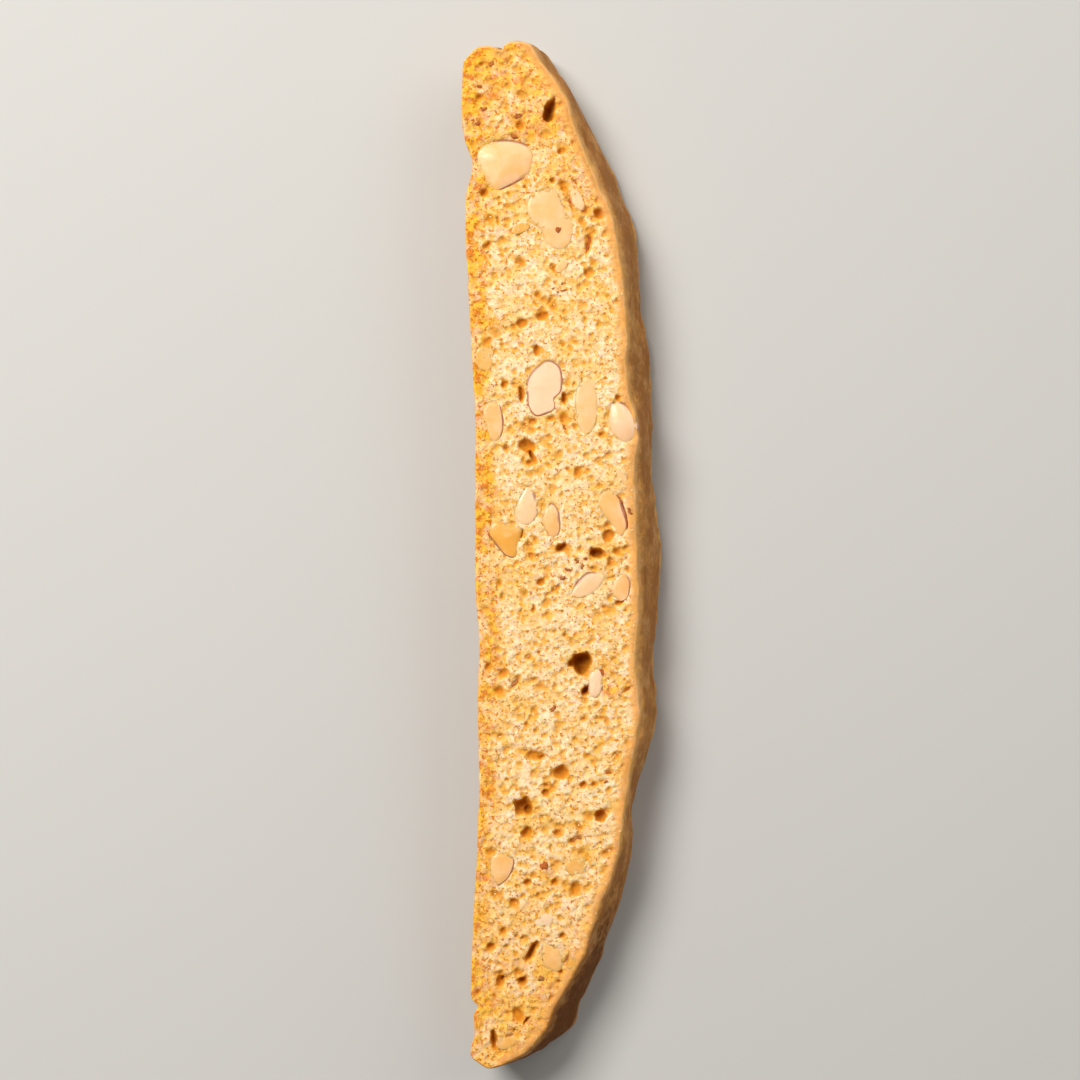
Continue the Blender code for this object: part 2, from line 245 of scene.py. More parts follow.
# How each upper almond was cut, in the order of the CAD's nodes: the outline of its cut face as (x, y) from
# its middle, counter-clockwise; the arcs of its rim that kept their skin, in degrees from +X; how toasted and
# how pale its flesh is; how far it bows up; how much crumb hides its rim; and the gap along its skin.
CutAlmond = namedtuple("CutAlmond", "outline skin toasting paleness bow buried gap")
UPPER_ALMONDS = (
    CutAlmond(
        ((4.7, 0.3), (4.5, 2.4), (2.3, 3.8), (-1.0, 4.0), (-3.9, 3.2), (-4.9, 1.4), (-4.3, -0.9),
         (-3.0, -3.2), (-1.7, -4.6), (0.4, -3.9), (2.7, -2.7), (4.0, -1.6)),
        ((28, 120), (-108, -35)), 0.25, 0.25, 0.70, 0.2, 0.06),
    CutAlmond(
        ((2.6, 0.8), (1.2, 4.7), (-1.6, 4.2), (-2.6, 1.6), (-2.0, -0.8), (-0.8, -2.4), (0.2, -4.9),
         (1.6, -5.8), (3.2, -4.5), (3.6, -1.2)),
        (), 0.30, 0.3, 0.15, 1.0, 0.0),
    CutAlmond(
        ((2.9, -0.5), (3.1, 1.7), (2.6, 3.8), (0.9, 4.8), (-0.5, 3.9), (-1.7, 2.6), (-2.5, 0.7),
         (-2.4, -1.4), (-2.1, -3.4), (-1.1, -4.8), (0.5, -4.5), (1.9, -3.6), (1.8, -2.0), (2.3, -1.3)),
        ((-180, 180),), 0.0, 0.8, 0.1, 0.1, 0.05),
    CutAlmond(
        ((2.1, 0.6), (1.4, 3.6), (0.2, 4.8), (-1.2, 3.4), (-1.8, 0.8), (-1.6, -2.4), (-0.9, -4.8),
         (0.6, -5.4), (1.8, -3.4)),
        (), 0.15, 0.3, 0.1, 0.9, 0.0),
    CutAlmond(
        ((1.7, 0.0), (1.2, 2.2), (0.4, 3.3), (-1.2, 2.8), (-1.8, 1.2), (-1.4, -1.2), (-0.5, -3.8),
         (0.8, -4.2), (1.6, -2.2)),
        ((-75, 75),), 0.40, 0.1, 0.1, 0.5, 0.08),
    CutAlmond(
        ((3.0, -0.6), (1.9, 1.7), (0.6, 3.0), (-0.9, 3.0), (-1.6, 1.0), (-1.3, -1.4), (-0.2, -3.2),
         (1.4, -3.8), (2.8, -2.4)),
        ((-50, 105),), 0.10, 0.75, 0.70, 0.2, 0.12),
    CutAlmond(
        ((2.3, 0.4), (1.6, 2.2), (0.3, 3.5), (-0.8, 2.4), (-1.8, 0.8), (-2.3, -0.9), (-1.5, -3.0),
         (0.2, -3.4), (1.8, -2.2)),
        ((40, 75),), 0.0, 0.5, 0.15, 0.4, 0.0),
    CutAlmond(
        ((1.5, -0.2), (1.1, 1.6), (0.1, 2.7), (-1.2, 1.8), (-1.8, 0.2), (-1.3, -1.4), (-0.4, -2.7),
         (0.7, -3.0), (1.4, -1.8)),
        ((-75, 100),), 0.40, 0.3, 0.2, 0.2, 0.04),
    CutAlmond(
        ((2.0, 0.6), (1.0, 2.6), (-0.4, 3.7), (-1.9, 3.3), (-2.5, 1.4), (-1.3, -0.8), (0.2, -2.3),
         (1.5, -4.2), (2.4, -3.8), (2.6, -1.8)),
        ((-60, 70),), 0.35, 0.1, 0.15, 0.5, 0.30),
    CutAlmond(
        ((2.7, 0.0), (2.8, 1.6), (0.8, 2.2), (-1.3, 2.6), (-2.3, 1.0), (-1.4, -0.6), (0.3, -2.6),
         (2.0, -3.0), (2.4, -1.6)),
        ((165, 300),), 1.2, 0.0, 0.3, 0.3, 0.04),
    CutAlmond(
        ((2.7, 0.4), (3.0, 1.6), (0.8, 2.0), (-0.9, 1.2), (-2.5, -0.9), (-1.6, -1.7), (0.0, -1.5),
         (1.6, -0.8)),
        ((50, 205),), 0.1, 0.65, 0.1, 0.3, 0.03),
    CutAlmond(
        ((1.9, 0.0), (1.7, 1.4), (1.0, 2.4), (0.0, 1.8), (-0.9, 0.2), (-0.7, -1.4), (0.5, -2.5),
         (1.5, -1.8)),
        ((-95, 65),), 0.50, 0.4, 0.1, 0.3, 0.03),
    CutAlmond(
        ((0.9, 0.4), (0.7, 2.0), (-0.2, 2.7), (-1.0, 1.4), (-1.1, -0.6), (-0.9, -2.5), (0.2, -2.6),
         (0.8, -1.2)),
        ((-60, -20),), 0.0, 0.9, 0.3, 0.4, 0.05),
    CutAlmond(
        ((1.8, -0.2), (2.0, 1.6), (0.8, 2.7), (-1.2, 2.4), (-2.0, 0.4), (-1.8, -1.6), (-0.6, -3.1),
         (0.9, -1.9)),
        ((-110, 45),), 0.45, 0.1, 0.15, 0.5, 0.04),
    CutAlmond(
        ((1.8, -0.6), (1.2, 1.0), (-0.2, 1.8), (-1.6, 2.4), (-2.1, 0.4), (-1.5, -1.8), (-0.2, -2.6),
         (0.9, -2.6), (1.7, -1.8)),
        (), 0.32, 0.0, 0.15, 0.7, 0.0),
)

# Flakes of almond skin lying in the upper face: along, across, length, width, turn, redness.
FLAKES = (
    (151.9, 17.7, 4.2, 0.7, -72, 0.7),
    (155.5, 18.4, 2.0, 0.45, -50, 0.5),
    (144.6, 20.9, 5.0, 0.8, 78, 1.0),
    (112.1, 16.7, 2.6, 0.6, -65, 0.8),
    (67.5, 8.0, 3.2, 0.9, 57, 0.1),
    (40.2, 19.0, 2.0, 0.9, 20, 0.2),
    (51.6, 24.2, 1.4, 0.6, 30, 0.9),
    (35.3, 13.1, 1.5, 1.2, 20, 1.0),
    (5.6, 6.9, 1.8, 0.5, 25, 0.2),
    (18.9, 17.0, 2.2, 0.45, 60, 0.2),
    (15.7, 12.5, 1.0, 0.8, 0, 0.1),
    (66.3, 27.9, 2.9, 0.6, 30, 0.9),
    (166.8, 8.4, 1.4, 0.8, 10, 0.7),
    (163.3, 7.9, 1.6, 0.9, -10, 0.8),
    (175.8, 3.9, 1.2, 0.8, 30, 0.8),
    (167.9, 2.4, 1.1, 0.7, 0, 0.8),
    (165.5, 1.5, 1.0, 0.6, 0, 0.9),
    (171.9, 1.6, 1.0, 0.6, 0, 0.9),
    (146.9, 15.5, 1.0, 0.8, 0, 1.0),
    (69.2, 23.2, 1.1, 0.8, 60, 1.0),
    (85.8, 16.3, 1.0, 0.6, 0, 0.2),
    (136.6, 14.6, 0.7, 0.3, 30, 0.5),
    (137.5, 16.2, 0.6, 0.3, 70, 0.2),
    (136.3, 16.5, 1.1, 0.3, 10, 0.4),
    (136.0, 15.4, 0.5, 0.3, 50, 0.5),
    (50.0, 24.0, 0.9, 0.5, 10, 0.8),
    (88.6, 18.6, 1.3, 0.7, 20, 0.5),
    (87.9, 19.7, 1.0, 0.6, 70, 0.3),
    (87.3, 17.2, 1.2, 0.5, -20, 0.4),
    (89.2, 20.3, 0.8, 0.5, 0, 0.6),
    (99.7, 26.3, 2.2, 0.6, -50, 0.3),
    (40.2, 19.3, 1.6, 0.7, -60, 0.1),
    (51.6, 24.5, 1.8, 0.9, 0, 0.3),
    (62.8, 14.6, 1.3, 0.8, 40, 0.6),
    (97.6, 28.1, 1.4, 0.6, -60, 0.4),
)

# Chips of almond flesh in the upper face: along, across, length, width, turn, toasting.
CHIPS = (
    (124.4, 2.6, 4.4, 3.4, 80, 0.65),
    (152.2, 18.9, 4.2, 2.0, -65, 0.0),
    (147.1, 8.9, 3.5, 1.7, 20, 0.8),
    (103.0, 26.5, 4.2, 2.6, 95, 0.1),
    (35.3, 18.6, 3.9, 3.2, 40, 0.55),
    (25.8, 13.1, 3.5, 2.2, 20, -0.5),
    (4.4, 6.4, 3.7, 2.1, 15, 0.65),
    (18.1, 17.9, 2.0, 1.3, 60, 0.8),
    (162.0, 14.0, 2.0, 0.8, 110, 1.0),
    (140.5, 16.1, 2.6, 1.6, 45, 0.2),
)


def from_table(along, across, height=THICKNESS):
    """A point of the tables as x and y from the middle of the slice, in millimetres, at this height."""
    return across + BASE_ACROSS + LEAN * (1 - height / THICKNESS), along + TIP_ALONG


def smooth_step(low, high, values):
    """0 below low, 1 above high, and an even ease between."""
    share = np.clip((values - low) / (high - low), 0, 1)
    return share * share * (3 - 2 * share)


def noise_at(points, size, shift, basis="PERLIN_ORIGINAL"):
    """Noise from about -1 to 1 at the points, with lumps about this many millimetres across."""
    scaled = np.asarray(points) / size + shift
    if scaled.shape[1] == 2:
        scaled = np.column_stack((scaled, np.full(len(scaled), shift)))
    return np.array([noise.noise(point, noise_basis=basis) for point in scaled.tolist()])


def curve_at(loop, places):
    """Points of the smooth closed curve through a loop, at places counted in its corners."""
    index = np.floor(places).astype(int)
    t = (places - index)[:, None]
    before, start, end, after = (loop[(index + k) % len(loop)] for k in (-1, 0, 1, 2))
    bend = 2 * before - 5 * start + 4 * end - after
    twist = 3 * (start - end) + after - before
    return start + 0.5 * t * ((end - before) + t * (bend + t * twist))


def even_places(loop, count):
    """Places that split the closed curve through a loop into even lengths."""
    fine = np.arange(0, len(loop), 1 / 16)
    points = curve_at(loop, fine)
    steps = np.linalg.norm(np.roll(points, -1, axis=0) - points, axis=1)
    reached = np.append(0, np.cumsum(steps))
    return np.interp(np.arange(count) * reached[-1] / count, reached, np.append(fine, len(loop)))


def outward(loop):
    """Unit normals in the plane of a counter-clockwise loop, facing out."""
    run = np.roll(loop, -1, axis=0) - np.roll(loop, 1, axis=0)
    normals = np.column_stack((run[:, 1], -run[:, 0]))
    return normals / np.linalg.norm(normals, axis=1)[:, None]


def inside(loop, spots):
    """Which of the spots lie inside a closed loop."""
    order = np.argsort(spots[:, 1])
    heights = spots[order, 1]
    within = np.zeros(len(spots), bool)
    for start, end in zip(loop, np.roll(loop, -1, axis=0)):
        low, high = (start, end) if start[1] < end[1] else (end, start)
        rows = order[np.searchsorted(heights, low[1]) : np.searchsorted(heights, high[1])]
        if len(rows):
            share = (spots[rows, 1] - low[1]) / (high[1] - low[1])
            within[rows] ^= spots[rows, 0] < low[0] + share * (high[0] - low[0])
    return within


def distance_to(loop, spots):
    """How far each spot is from the nearest point of a loop."""
    tree = KDTree(len(loop))
    for index, (x, y) in enumerate(loop.tolist()):
        tree.insert((x, y, 0), index)
    tree.balance()
    return np.array([tree.find((x, y, 0))[2] for x, y in spots.tolist()])


def merged_cad(node):
    """A CAD node's mesh as a bmesh with its split corners joined."""
    shape = bmesh.new()
    shape.from_mesh(frame["nodes"][node].data)
    bmesh.ops.remove_doubles(shape, verts=shape.verts, dist=1e-6)
    return shape


def counter_clockwise(loop):
    """The loop, turned round if it runs clockwise."""
    following = np.roll(loop, -1, axis=0)
    area = np.sum(loop[:, 0] * following[:, 1] - following[:, 0] * loop[:, 1])
    return loop if area > 0 else loop[::-1]


def crust_ring(shape, height):
    """The CAD crust's corners at one height, in order round the slice, across any almond that breaks it."""
    level = {v for v in shape.verts if abs(v.co.z / MM - height) < 0.002}
    ring = [max(level, key=lambda v: v.co.y)]
    level.discard(ring[0])
    while level:
        here = ring[-1].co
        beside = level.intersection([e.other_vert(ring[-1]) for e in ring[-1].link_edges])
        step = min(beside or level, key=lambda v: (v.co - here).length)
        if (step.co - here).length > LONGEST_RING_STEP * MM:
            raise RuntimeError(f"the CAD crust has no whole ring at {height} mm")
        ring.append(step)
        level.discard(step)
    return counter_clockwise(np.array([v.co.xy for v in ring]) / MM)


def lined_up(rings):
    """The rings, each started at the corner that best matches the one before it."""
    placed = [rings[0]]
    for ring in rings[1:]:
        gaps = [np.sum((np.roll(ring, -k, axis=0) - placed[-1]) ** 2) for k in range(len(ring))]
        placed.append(np.roll(ring, -int(np.argmin(gaps)), axis=0))
    return placed


def crust_section(rings, height):
    """The crust's outline at any height, on the cubic through the four rings."""
    section = 0
    for ring, own in zip(rings, CRUST_RINGS):
        others = [other for other in CRUST_RINGS if other != own]
        share = math.prod((height - other) / (own - other) for other in others)
        section = section + share * ring
    return section


def crust_rows(settings):
    """Rows of points down the crust from the upper cut face to the lower, as (x, y, z)."""
    shape = merged_cad("crumb")
    rings = [crust_ring(shape, height) for height in CRUST_RINGS]
    shape.free()
    rings = lined_up([curve_at(ring, even_places(ring, CRUST_POINTS)) for ring in rings])
    edge = [(THICKNESS - depth, drawn_in) for depth, drawn_in in WORN_EDGE]
    middle = [(height, 0.0) for height in np.linspace(edge[-1][0], WORN_EDGE[-1][0], CRUST_ROWS + 2)[1:-1]]
    lower_edge = [(depth, drawn_in) for depth, drawn_in in reversed(WORN_EDGE)]
    rows = []
    for height, drawn_in in edge + middle + lower_edge:
        loop = crust_section(rings, height)
        normals = outward(loop)
        points = np.column_stack((loop, np.full(len(loop), height)))
        rise = crust_relief(points, normals, settings)
        points[:, :2] += normals * (rise - drawn_in)[:, None]
        rows.append(points)
    return rows


def crust_relief(points, normals, settings):
    """How far the crust stands out at each point: soft lumps on the dome, fine pits on the flat base."""
    base = smooth_step(0.55, 0.9, -normals[:, 0])
    middle = 1 - (2 * points[:, 2] / THICKNESS - 1) ** 2
    lumps = (0.10 + 0.35 * middle) * noise_at(points, 8.0, 3.1) + 0.28 * noise_at(points, 3.0, 8.7)
    lumps += 0.09 * noise_at(points, 1.4, 6.2)
    pits = noise_at(points, 1.3, 5.5, "VORONOI_F1")
    pitted = -0.16 * smooth_step(-0.35, -0.75, pits)
    dome = lumps + 0.05 * noise_at(points, 0.9, 1.9) + 0.35 * pitted
    flat = 0.35 * lumps + 0.06 * noise_at(points, 0.9, 2.2) + pitted
    return settings.crust_relief / MM * (dome * (1 - base) + flat * base)


def almond_rings(node, from_top):
    """The CAD almond's outlines from its cut face inward, smoothed, as (height, loop) pairs."""
    shape = merged_cad(node)
    corners = np.array([v.co for v in shape.verts]) / MM
    shape.free()
    heights = sorted({round(z, 2) for z in corners[:, 2]}, reverse=from_top)
    rings = []
    for height in heights:
        loop = corners[np.abs(corners[:, 2] - height) < 0.01][:, :2]
        spokes = loop - loop.mean(axis=0)
        rings.append((height, loop[np.argsort(np.arctan2(spokes[:, 1], spokes[:, 0]))]))
    return [(height, curve_at(loop, even_places(loop, RIM_POINTS))) for height, loop in rings]


def skin_share(loop, arcs):
    """How much skin shows at each point of an almond's rim, from the arcs that kept it."""
    spokes = loop - loop.mean(axis=0)
    bearing = np.degrees(np.arctan2(spokes[:, 1], spokes[:, 0]))
    share = np.zeros(len(loop))
    for start, end in arcs:
        middle, half = (start + end) / 2, (end - start) / 2
        off = np.abs((bearing - middle + 180) % 360 - 180)
        share = np.maximum(share, 1 - smooth_step(half - SKIN_FADE, half, off))
    return share


def fitted(outline, ring):
    """The outline as a smooth loop, sized and placed to fill the same box as the ring."""
    loop = counter_clockwise(np.array(outline, float))
    loop = curve_at(loop, even_places(loop, RIM_POINTS))
    low, high = ring.min(axis=0), ring.max(axis=0)
    share = (loop - loop.min(axis=0)) / (loop.max(axis=0) - loop.min(axis=0))
    return low + share * (high - low)


class Almond:
    """One almond: its CAD node, its outlines from the cut face inward, and its looks."""

    def __init__(self, node, from_top, looks):
        self.node = node
        self.from_top = from_top
        self.looks = looks
        self.rings = almond_rings(node, from_top)
        if looks.outline:
            self.rings = [(height, fitted(looks.outline, loop)) for height, loop in self.rings]
        self.through = abs(self.rings[0][0] - self.rings[-1][0]) > THICKNESS - 0.1
        self.seed = sum(ord(letter) for letter in node)

    def rim_depth(self):
        """How far the rim of its cut face lies below the slice's cut face."""
        return 0.02 + 0.45 * self.looks.bow

    def mouth(self, end=0):
        """The loop of the crumb's edge round the almond at its first (0) or last (-1) outline.

        It clears the skin, and where the rim is bare it runs hidden under the almond's face.
        """
        loop = self.rings[end][1]
        skin = skin_share(loop, self.looks.skin)
        bare = 1 - skin
        ragged = (0.03 + 0.07 * bare) * noise_at(loop, 0.8, self.seed)
        return loop + outward(loop) * (self.looks.gap * skin - 0.30 * bare + ragged)[:, None]


def all_almonds():
    """Every almond of the CAD, upper ones first."""
    rng = np.random.default_rng(ALMOND_SEED)
    nodes = sorted(name for name in frame["nodes"] if name.startswith("almond_upper"))
    if len(nodes) != len(UPPER_ALMONDS):
        raise RuntimeError("the upper almonds and their looks don't match")
    almonds = [Almond(node, True, looks) for node, looks in zip(nodes, UPPER_ALMONDS)]
    for node in sorted(name for name in frame["nodes"] if name.startswith("almond_lower")):
        start = rng.uniform(-180, 180)
        arcs = ((start, start + rng.uniform(60, 190)),)
        toasting, paleness, buried = rng.uniform(0.1, 0.6), rng.uniform(0, 0.6), rng.uniform(0.2, 0.8)
        looks = CutAlmond((), arcs, toasting, paleness, 0.15, buried, 0.05)
        almonds.append(Almond(node, False, looks))
    return almonds


def hex_grid(low, high, step, rng):
    """Jittered spots a step apart that fill a box."""
    spots = []
    for row, y in enumerate(np.arange(low[1], high[1], step * math.sqrt(3) / 2)):
        xs = np.arange(low[0] + (row % 2) * step / 2, high[0], step)
        spots.append(np.column_stack((xs, np.full(len(xs), y))))
    spots = np.vstack(spots)
    return spots + rng.normal(0, step * 0.13, spots.shape)


def shrunk(loop, margin):
    """The loop, drawn in by a margin."""
    return loop - outward(loop) * margin


class CutFace:
    """One cut face of the slice while it is being shaped, as spots in the plane and their heights."""

    def __init__(self, outline, almonds, from_top, step, rng):
        self.outline = outline
        self.from_top = from_top
        self.level = THICKNESS if from_top else 0.0
        self.up = 1 if from_top else -1
        self.blind = [a for a in almonds if not a.through and a.from_top == from_top]
        self.open = [a for a in almonds if a.through]
        self.mouths = [self.kept_in(a.mouth()) for a in self.blind]
        self.holes = [self.kept_in(a.mouth(0 if from_top else -1)) for a in self.open]
        self.triangulate(self.spread(step, rng))

    def kept_in(self, loop):
        """The loop with the points too near the slice's own outline drawn back inside it."""
        middle = loop.mean(axis=0)
        loop = loop.copy()
        tight = shrunk(self.outline, MOUTH_MARGIN)
        for _ in range(12):
            out = ~inside(tight, loop)
            if not out.any():
                break
            loop[out] += 0.08 * (middle - loop[out])
        return loop

    def spread(self, step, rng):
        """Jittered spots over the face, off the through holes and sparse under the other almonds."""
        spots = hex_grid(self.outline.min(axis=0), self.outline.max(axis=0), step, rng)
        spots = spots[inside(shrunk(self.outline, step * 0.55), spots)]
        for hole in self.holes:
            spots = spots[~inside(hole + outward(hole) * step * 0.5, spots)]
        for mouth in self.mouths:
            hidden = inside(mouth + outward(mouth) * step * 0.5, spots)
            deep = inside(shrunk(mouth, step * 2), spots) & (rng.random(len(spots)) < 0.1)
            spots = spots[~hidden | deep]
        return spots

    def triangulate(self, spots):
        """Join the spots and the loops with triangles, leaving the through holes open."""
        floors = [shrunk(mouth, 0.08) for mouth in self.mouths]
        loops = [self.outline] + self.holes + self.mouths + floors
        starts = np.cumsum([0] + [len(loop) for loop in loops])
        points = np.vstack(loops + [spots])
        edges = []
        for start, loop in zip(starts[1:], loops[1:]):
            count = len(loop)
            edges += [(int(start + k), int(start + (k + 1) % count)) for k in range(count)]
        border = [list(range(len(self.outline)))]
        made = delaunay_2d_cdt([Vector(point) for point in points.tolist()], edges, border, 1, 1e-6)
        self.spots = np.array([tuple(point) for point in made[0]])
        triangles = np.array(made[2])
        for hole in self.holes:
            triangles = triangles[~inside(hole, self.spots[triangles].mean(axis=1))]
        self.triangles = triangles
        place_of = {}
        for index, sources in enumerate(made[3]):
            for source in sources:
                place_of[source] = index
        self.rim = np.array([place_of[k] for k in range(len(self.outline))])
        self.hole_rims = [
            np.array([place_of[int(start) + k] for k in range(len(hole))])
            for start, hole in zip(starts[1:], self.holes)
        ]


def carve(spots, pores, stray, steepness):
    """How deep the pores cut at each spot.

    Stray is how far each spot's rim wanders, as a share, and a higher steepness makes a flatter bottom.
    """
    order = np.argsort(spots[:, 1])
    heights = spots[order, 1]
    depths = np.zeros(len(spots))
    for x, y, length, width, turn, depth in pores:
        reach = length * 0.75
        near = order[np.searchsorted(heights, y - reach) : np.searchsorted(heights, y + reach)]
        near = near[np.abs(spots[near, 0] - x) < reach]
        away = spots[near] - (x, y)
        cos, sin = math.cos(turn), math.sin(turn)
        u = (away[:, 0] * cos + away[:, 1] * sin) / (length / 2)
        v = (away[:, 1] * cos - away[:, 0] * sin) / (width / 2)
        r = np.clip(np.hypot(u, v) * (1 + stray[near]), 0, 1)
        depths[near] = np.maximum(depths[near], depth * (1 - r**steepness))
    return depths


def small_pores(face, count, settings, rng):
    """Small gas holes spread at random over a cut face."""
    low, high = face.outline.min(axis=0), face.outline.max(axis=0)
    spots = rng.uniform(low, high, (count * 2, 2))
    spots = spots[inside(shrunk(face.outline, 0.5), spots)][:count]
    size = settings.pore_size / MM * np.exp(rng.normal(0, 0.42, len(spots)))
    size = np.clip(size, 0.5, 1.9)
    narrow = rng.uniform(0.55, 1.0, len(spots))
    turn = rng.uniform(0, math.pi, len(spots))
    depth = size * rng.uniform(0.20, 0.58, len(spots))
    return np.column_stack((spots, size, size * narrow, turn, depth))


def table_pores():
    """The gas pockets of the table, in the plane of the upper face."""
    pockets = [(*from_table(a, c), length, width, math.radians(turn), depth)
               for a, c, length, width, turn, depth in POCKETS]
    beds = [(*from_table(a, c), length * 1.1, width * 1.4, math.radians(turn), 0.30 + 0.12 * length)
            for a, c, length, width, turn, _ in FLAKES if length > 1.5]
    return pockets + beds


def cad_depths(face):
    """How deep the CAD's gas pockets lie below this face at each spot, away from its almonds."""
    shape = merged_cad("crumb")
    tree = BVHTree.FromBMesh(shape)
    shape.free()
    start = (face.level + face.up) * MM
    down = Vector((0, 0, -face.up))
    wander = 0.22 * np.column_stack((noise_at(face.spots, 0.9, 4.4), noise_at(face.spots, 0.9, 9.3)))
    depths = []
    for x, y in ((face.spots + wander) * MM).tolist():
        hit = tree.ray_cast(Vector((x, y, start)), down)
        depths.append(0.0 if hit[0] is None else hit[3] / MM - 1)
    near = np.zeros(len(face.spots), bool)
    for mouth in face.mouths + face.holes:
        near |= inside(mouth + outward(mouth) * 0.7, face.spots)
    depths = np.where(near, 0, depths)
    return np.where(depths > DEEPEST_POCKET, 0, depths)


def near_almonds(face):
    """How near each spot is to an almond, from 0 to 1, and how far the crumb dips there to meet its rim."""
    nearness = np.zeros(len(face.spots))
    dip = np.zeros(len(face.spots))
    for almond, mouth in zip(face.blind + face.open, face.mouths + face.holes):
        near = inside(mouth + outward(mouth) * 1.1, face.spots)
        close = 1 - smooth_step(0.05, 0.95, distance_to(mouth, face.spots[near]))
        nearness[near] = np.maximum(nearness[near], close)
        dip[near] = np.maximum(dip[near], close * (almond.rim_depth() + 0.06))
    return nearness, dip


def granules_at(spots, size, stray, shift):
    """The crumb's granules at the spots: high on each granule, low in the gaps between them."""
    lumps = noise_at(spots + 0.5 * stray[:, None], size, shift + 9, "VORONOI_F1")
    grit = noise_at(spots, size * 0.5, shift + 11)
    return 0.40 * noise_at(spots, size * 1.6, shift + 13) - 0.50 * lumps + 0.15 * grit


def toasting_at(face, base_side, wave, ripple):
    """How toasted the crumb is at each spot: most by the base, at both ends and in the table's patches."""
    along = face.spots[:, 1] - TIP_ALONG
    toast = 1 - smooth_step(1.6, 4.2, base_side + 1.3 * ripple + 0.5 * wave)
    toast *= 0.80 + 0.20 * smooth_step(60, 115, along)
    head = smooth_step(136, 172, along + 6 * wave)
    tail = 0.65 * (1 - smooth_step(6, 40, along + 4 * wave))
    toast = np.maximum(toast, 0.75 * head + tail)
    for place, across, width, strength in TOASTED if face.from_top else ():
        reach = np.linalg.norm(face.spots - from_table(place, across), axis=1) / (width / 2)
        toast = np.maximum(toast, strength * (1 - smooth_step(0.3, 1.0, reach + 0.25 * ripple)))
    return np.clip(toast, 0, 1)


def shape_face(face, settings, rng):
    """Give the spots of a cut face their heights and the values that its finish is painted from."""
    spots = face.spots
    shift = 2.5 if face.from_top else 41.5
    edge = distance_to(face.outline, spots)
    wave = noise_at(spots, 7.0, shift)
    ripple = noise_at(spots, 2.8, shift + 3)
    stray = 0.30 * noise_at(spots, 1.1, shift + 5) + 0.14 * noise_at(spots, 0.5, shift + 6)
    nearness, dip = near_almonds(face)
    open_crumb = smooth_step(0.15, 0.9 + 0.4 * ripple, edge)

    share = 1.0 if face.from_top else LOWER_PORES
    pits = small_pores(face, int(settings.pore_count * share), settings, rng)
    fine = carve(spots, pits, stray * 1.6, 2.0)
    # Wider copies of the small pores, used only to paint shade on the crumb round their rims.
    pore_rim_shade = carve(spots, pits * (1, 1, 1.35, 1.35, 1, 0.8), stray * 1.6, 2.0)
    coarse = carve(spots, table_pores(), 0.8 * stray, 3.0) if face.from_top else cad_depths(face)
    depth = np.maximum(fine * open_crumb * (1 - 0.75 * nearness), coarse * smooth_step(0.1, 0.5, edge))

    granules = granules_at(spots, settings.granule_size / MM, stray, shift)
    relief = settings.granule_height / MM * granules * (0.25 + 0.75 * open_crumb)
    relief += 0.13 * wave * smooth_step(0, 3, edge) + 0.08 * ripple * open_crumb
    top = np.minimum(relief - 0.10, 0.30) * (1 - 0.55 * nearness) - dip
    face.height = face.level + face.up * (top * smooth_step(0, 0.6, edge) - depth)
    for almond, mouth in zip(face.blind, face.mouths):
        low, high = (corner.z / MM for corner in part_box(almond.node))
        floor = low - 0.3 if face.from_top else high + 0.3
        face.height[inside(shrunk(mouth, 0.04), spots)] = floor
    sideways = 0.09 * np.column_stack((noise_at(spots, 0.6, shift + 20), noise_at(spots, 0.6, shift + 23)))
    free = smooth_step(0.1, 0.6, edge) * (nearness < 0.9)
    face.plan = spots + sideways * free[:, None]

    base_side = spots[:, 0] - base_line(face.outline, spots[:, 1])
    margin = 1 - smooth_step(0.0, 1.9 + 0.6 * ripple + 0.9 * wave, edge)
    # The depth that the finish paints darker as painted shade: the pores' own depth, and a little round their
    # rims, where the walls' shade falls.
    face.depth = np.maximum(depth, pore_rim_shade * open_crumb * (1 - nearness))
    # The finish paints the crumb paler the higher its granule stands: painted highlight on the granules'
    # tops.
    face.grain = np.clip(0.5 + 1.1 * granules, 0, 1)
    face.toast = toasting_at(face, base_side, wave, ripple)
    face.crust = 0.48 * margin * smooth_step(1.5, 4.0, base_side)


def base_line(outline, along):
    """The x of the slice's flat base at each place along it."""
    left = outline[outward(outline)[:, 0] < -0.5]
    left = left[np.argsort(left[:, 1])]
    return np.interp(along, left[:, 1], left[:, 0])


class Shell:
    """One mesh gathered a block of points at a time, with values for its finish at every point."""

    def __init__(self, *names):
        self.points = []
        self.faces = []
        self.values = {name: [] for name in names}
        self.count = 0

    def add(self, block, **given):
        """Add points, with 0 for each value that isn't given, and return their places."""
        self.points.append(block)
        for name, column in self.values.items():
            column.append(np.broadcast_to(given.get(name, 0.0), len(block)))
        self.count += len(block)
        return np.arange(self.count - len(block), self.count)

    def strip(self, above, below):
        """Join two closed rows of points with a band of triangles."""
        after, beneath = np.roll(above, -1), np.roll(below, -1)
        self.faces.append(np.column_stack((above, below, beneath)))
        self.faces.append(np.column_stack((above, beneath, after)))

    def joined(self):
        """All the points and faces, and each value's column."""
        values = {name: np.concatenate(column) for name, column in self.values.items()}
        return np.vstack(self.points), np.vstack(self.faces), values


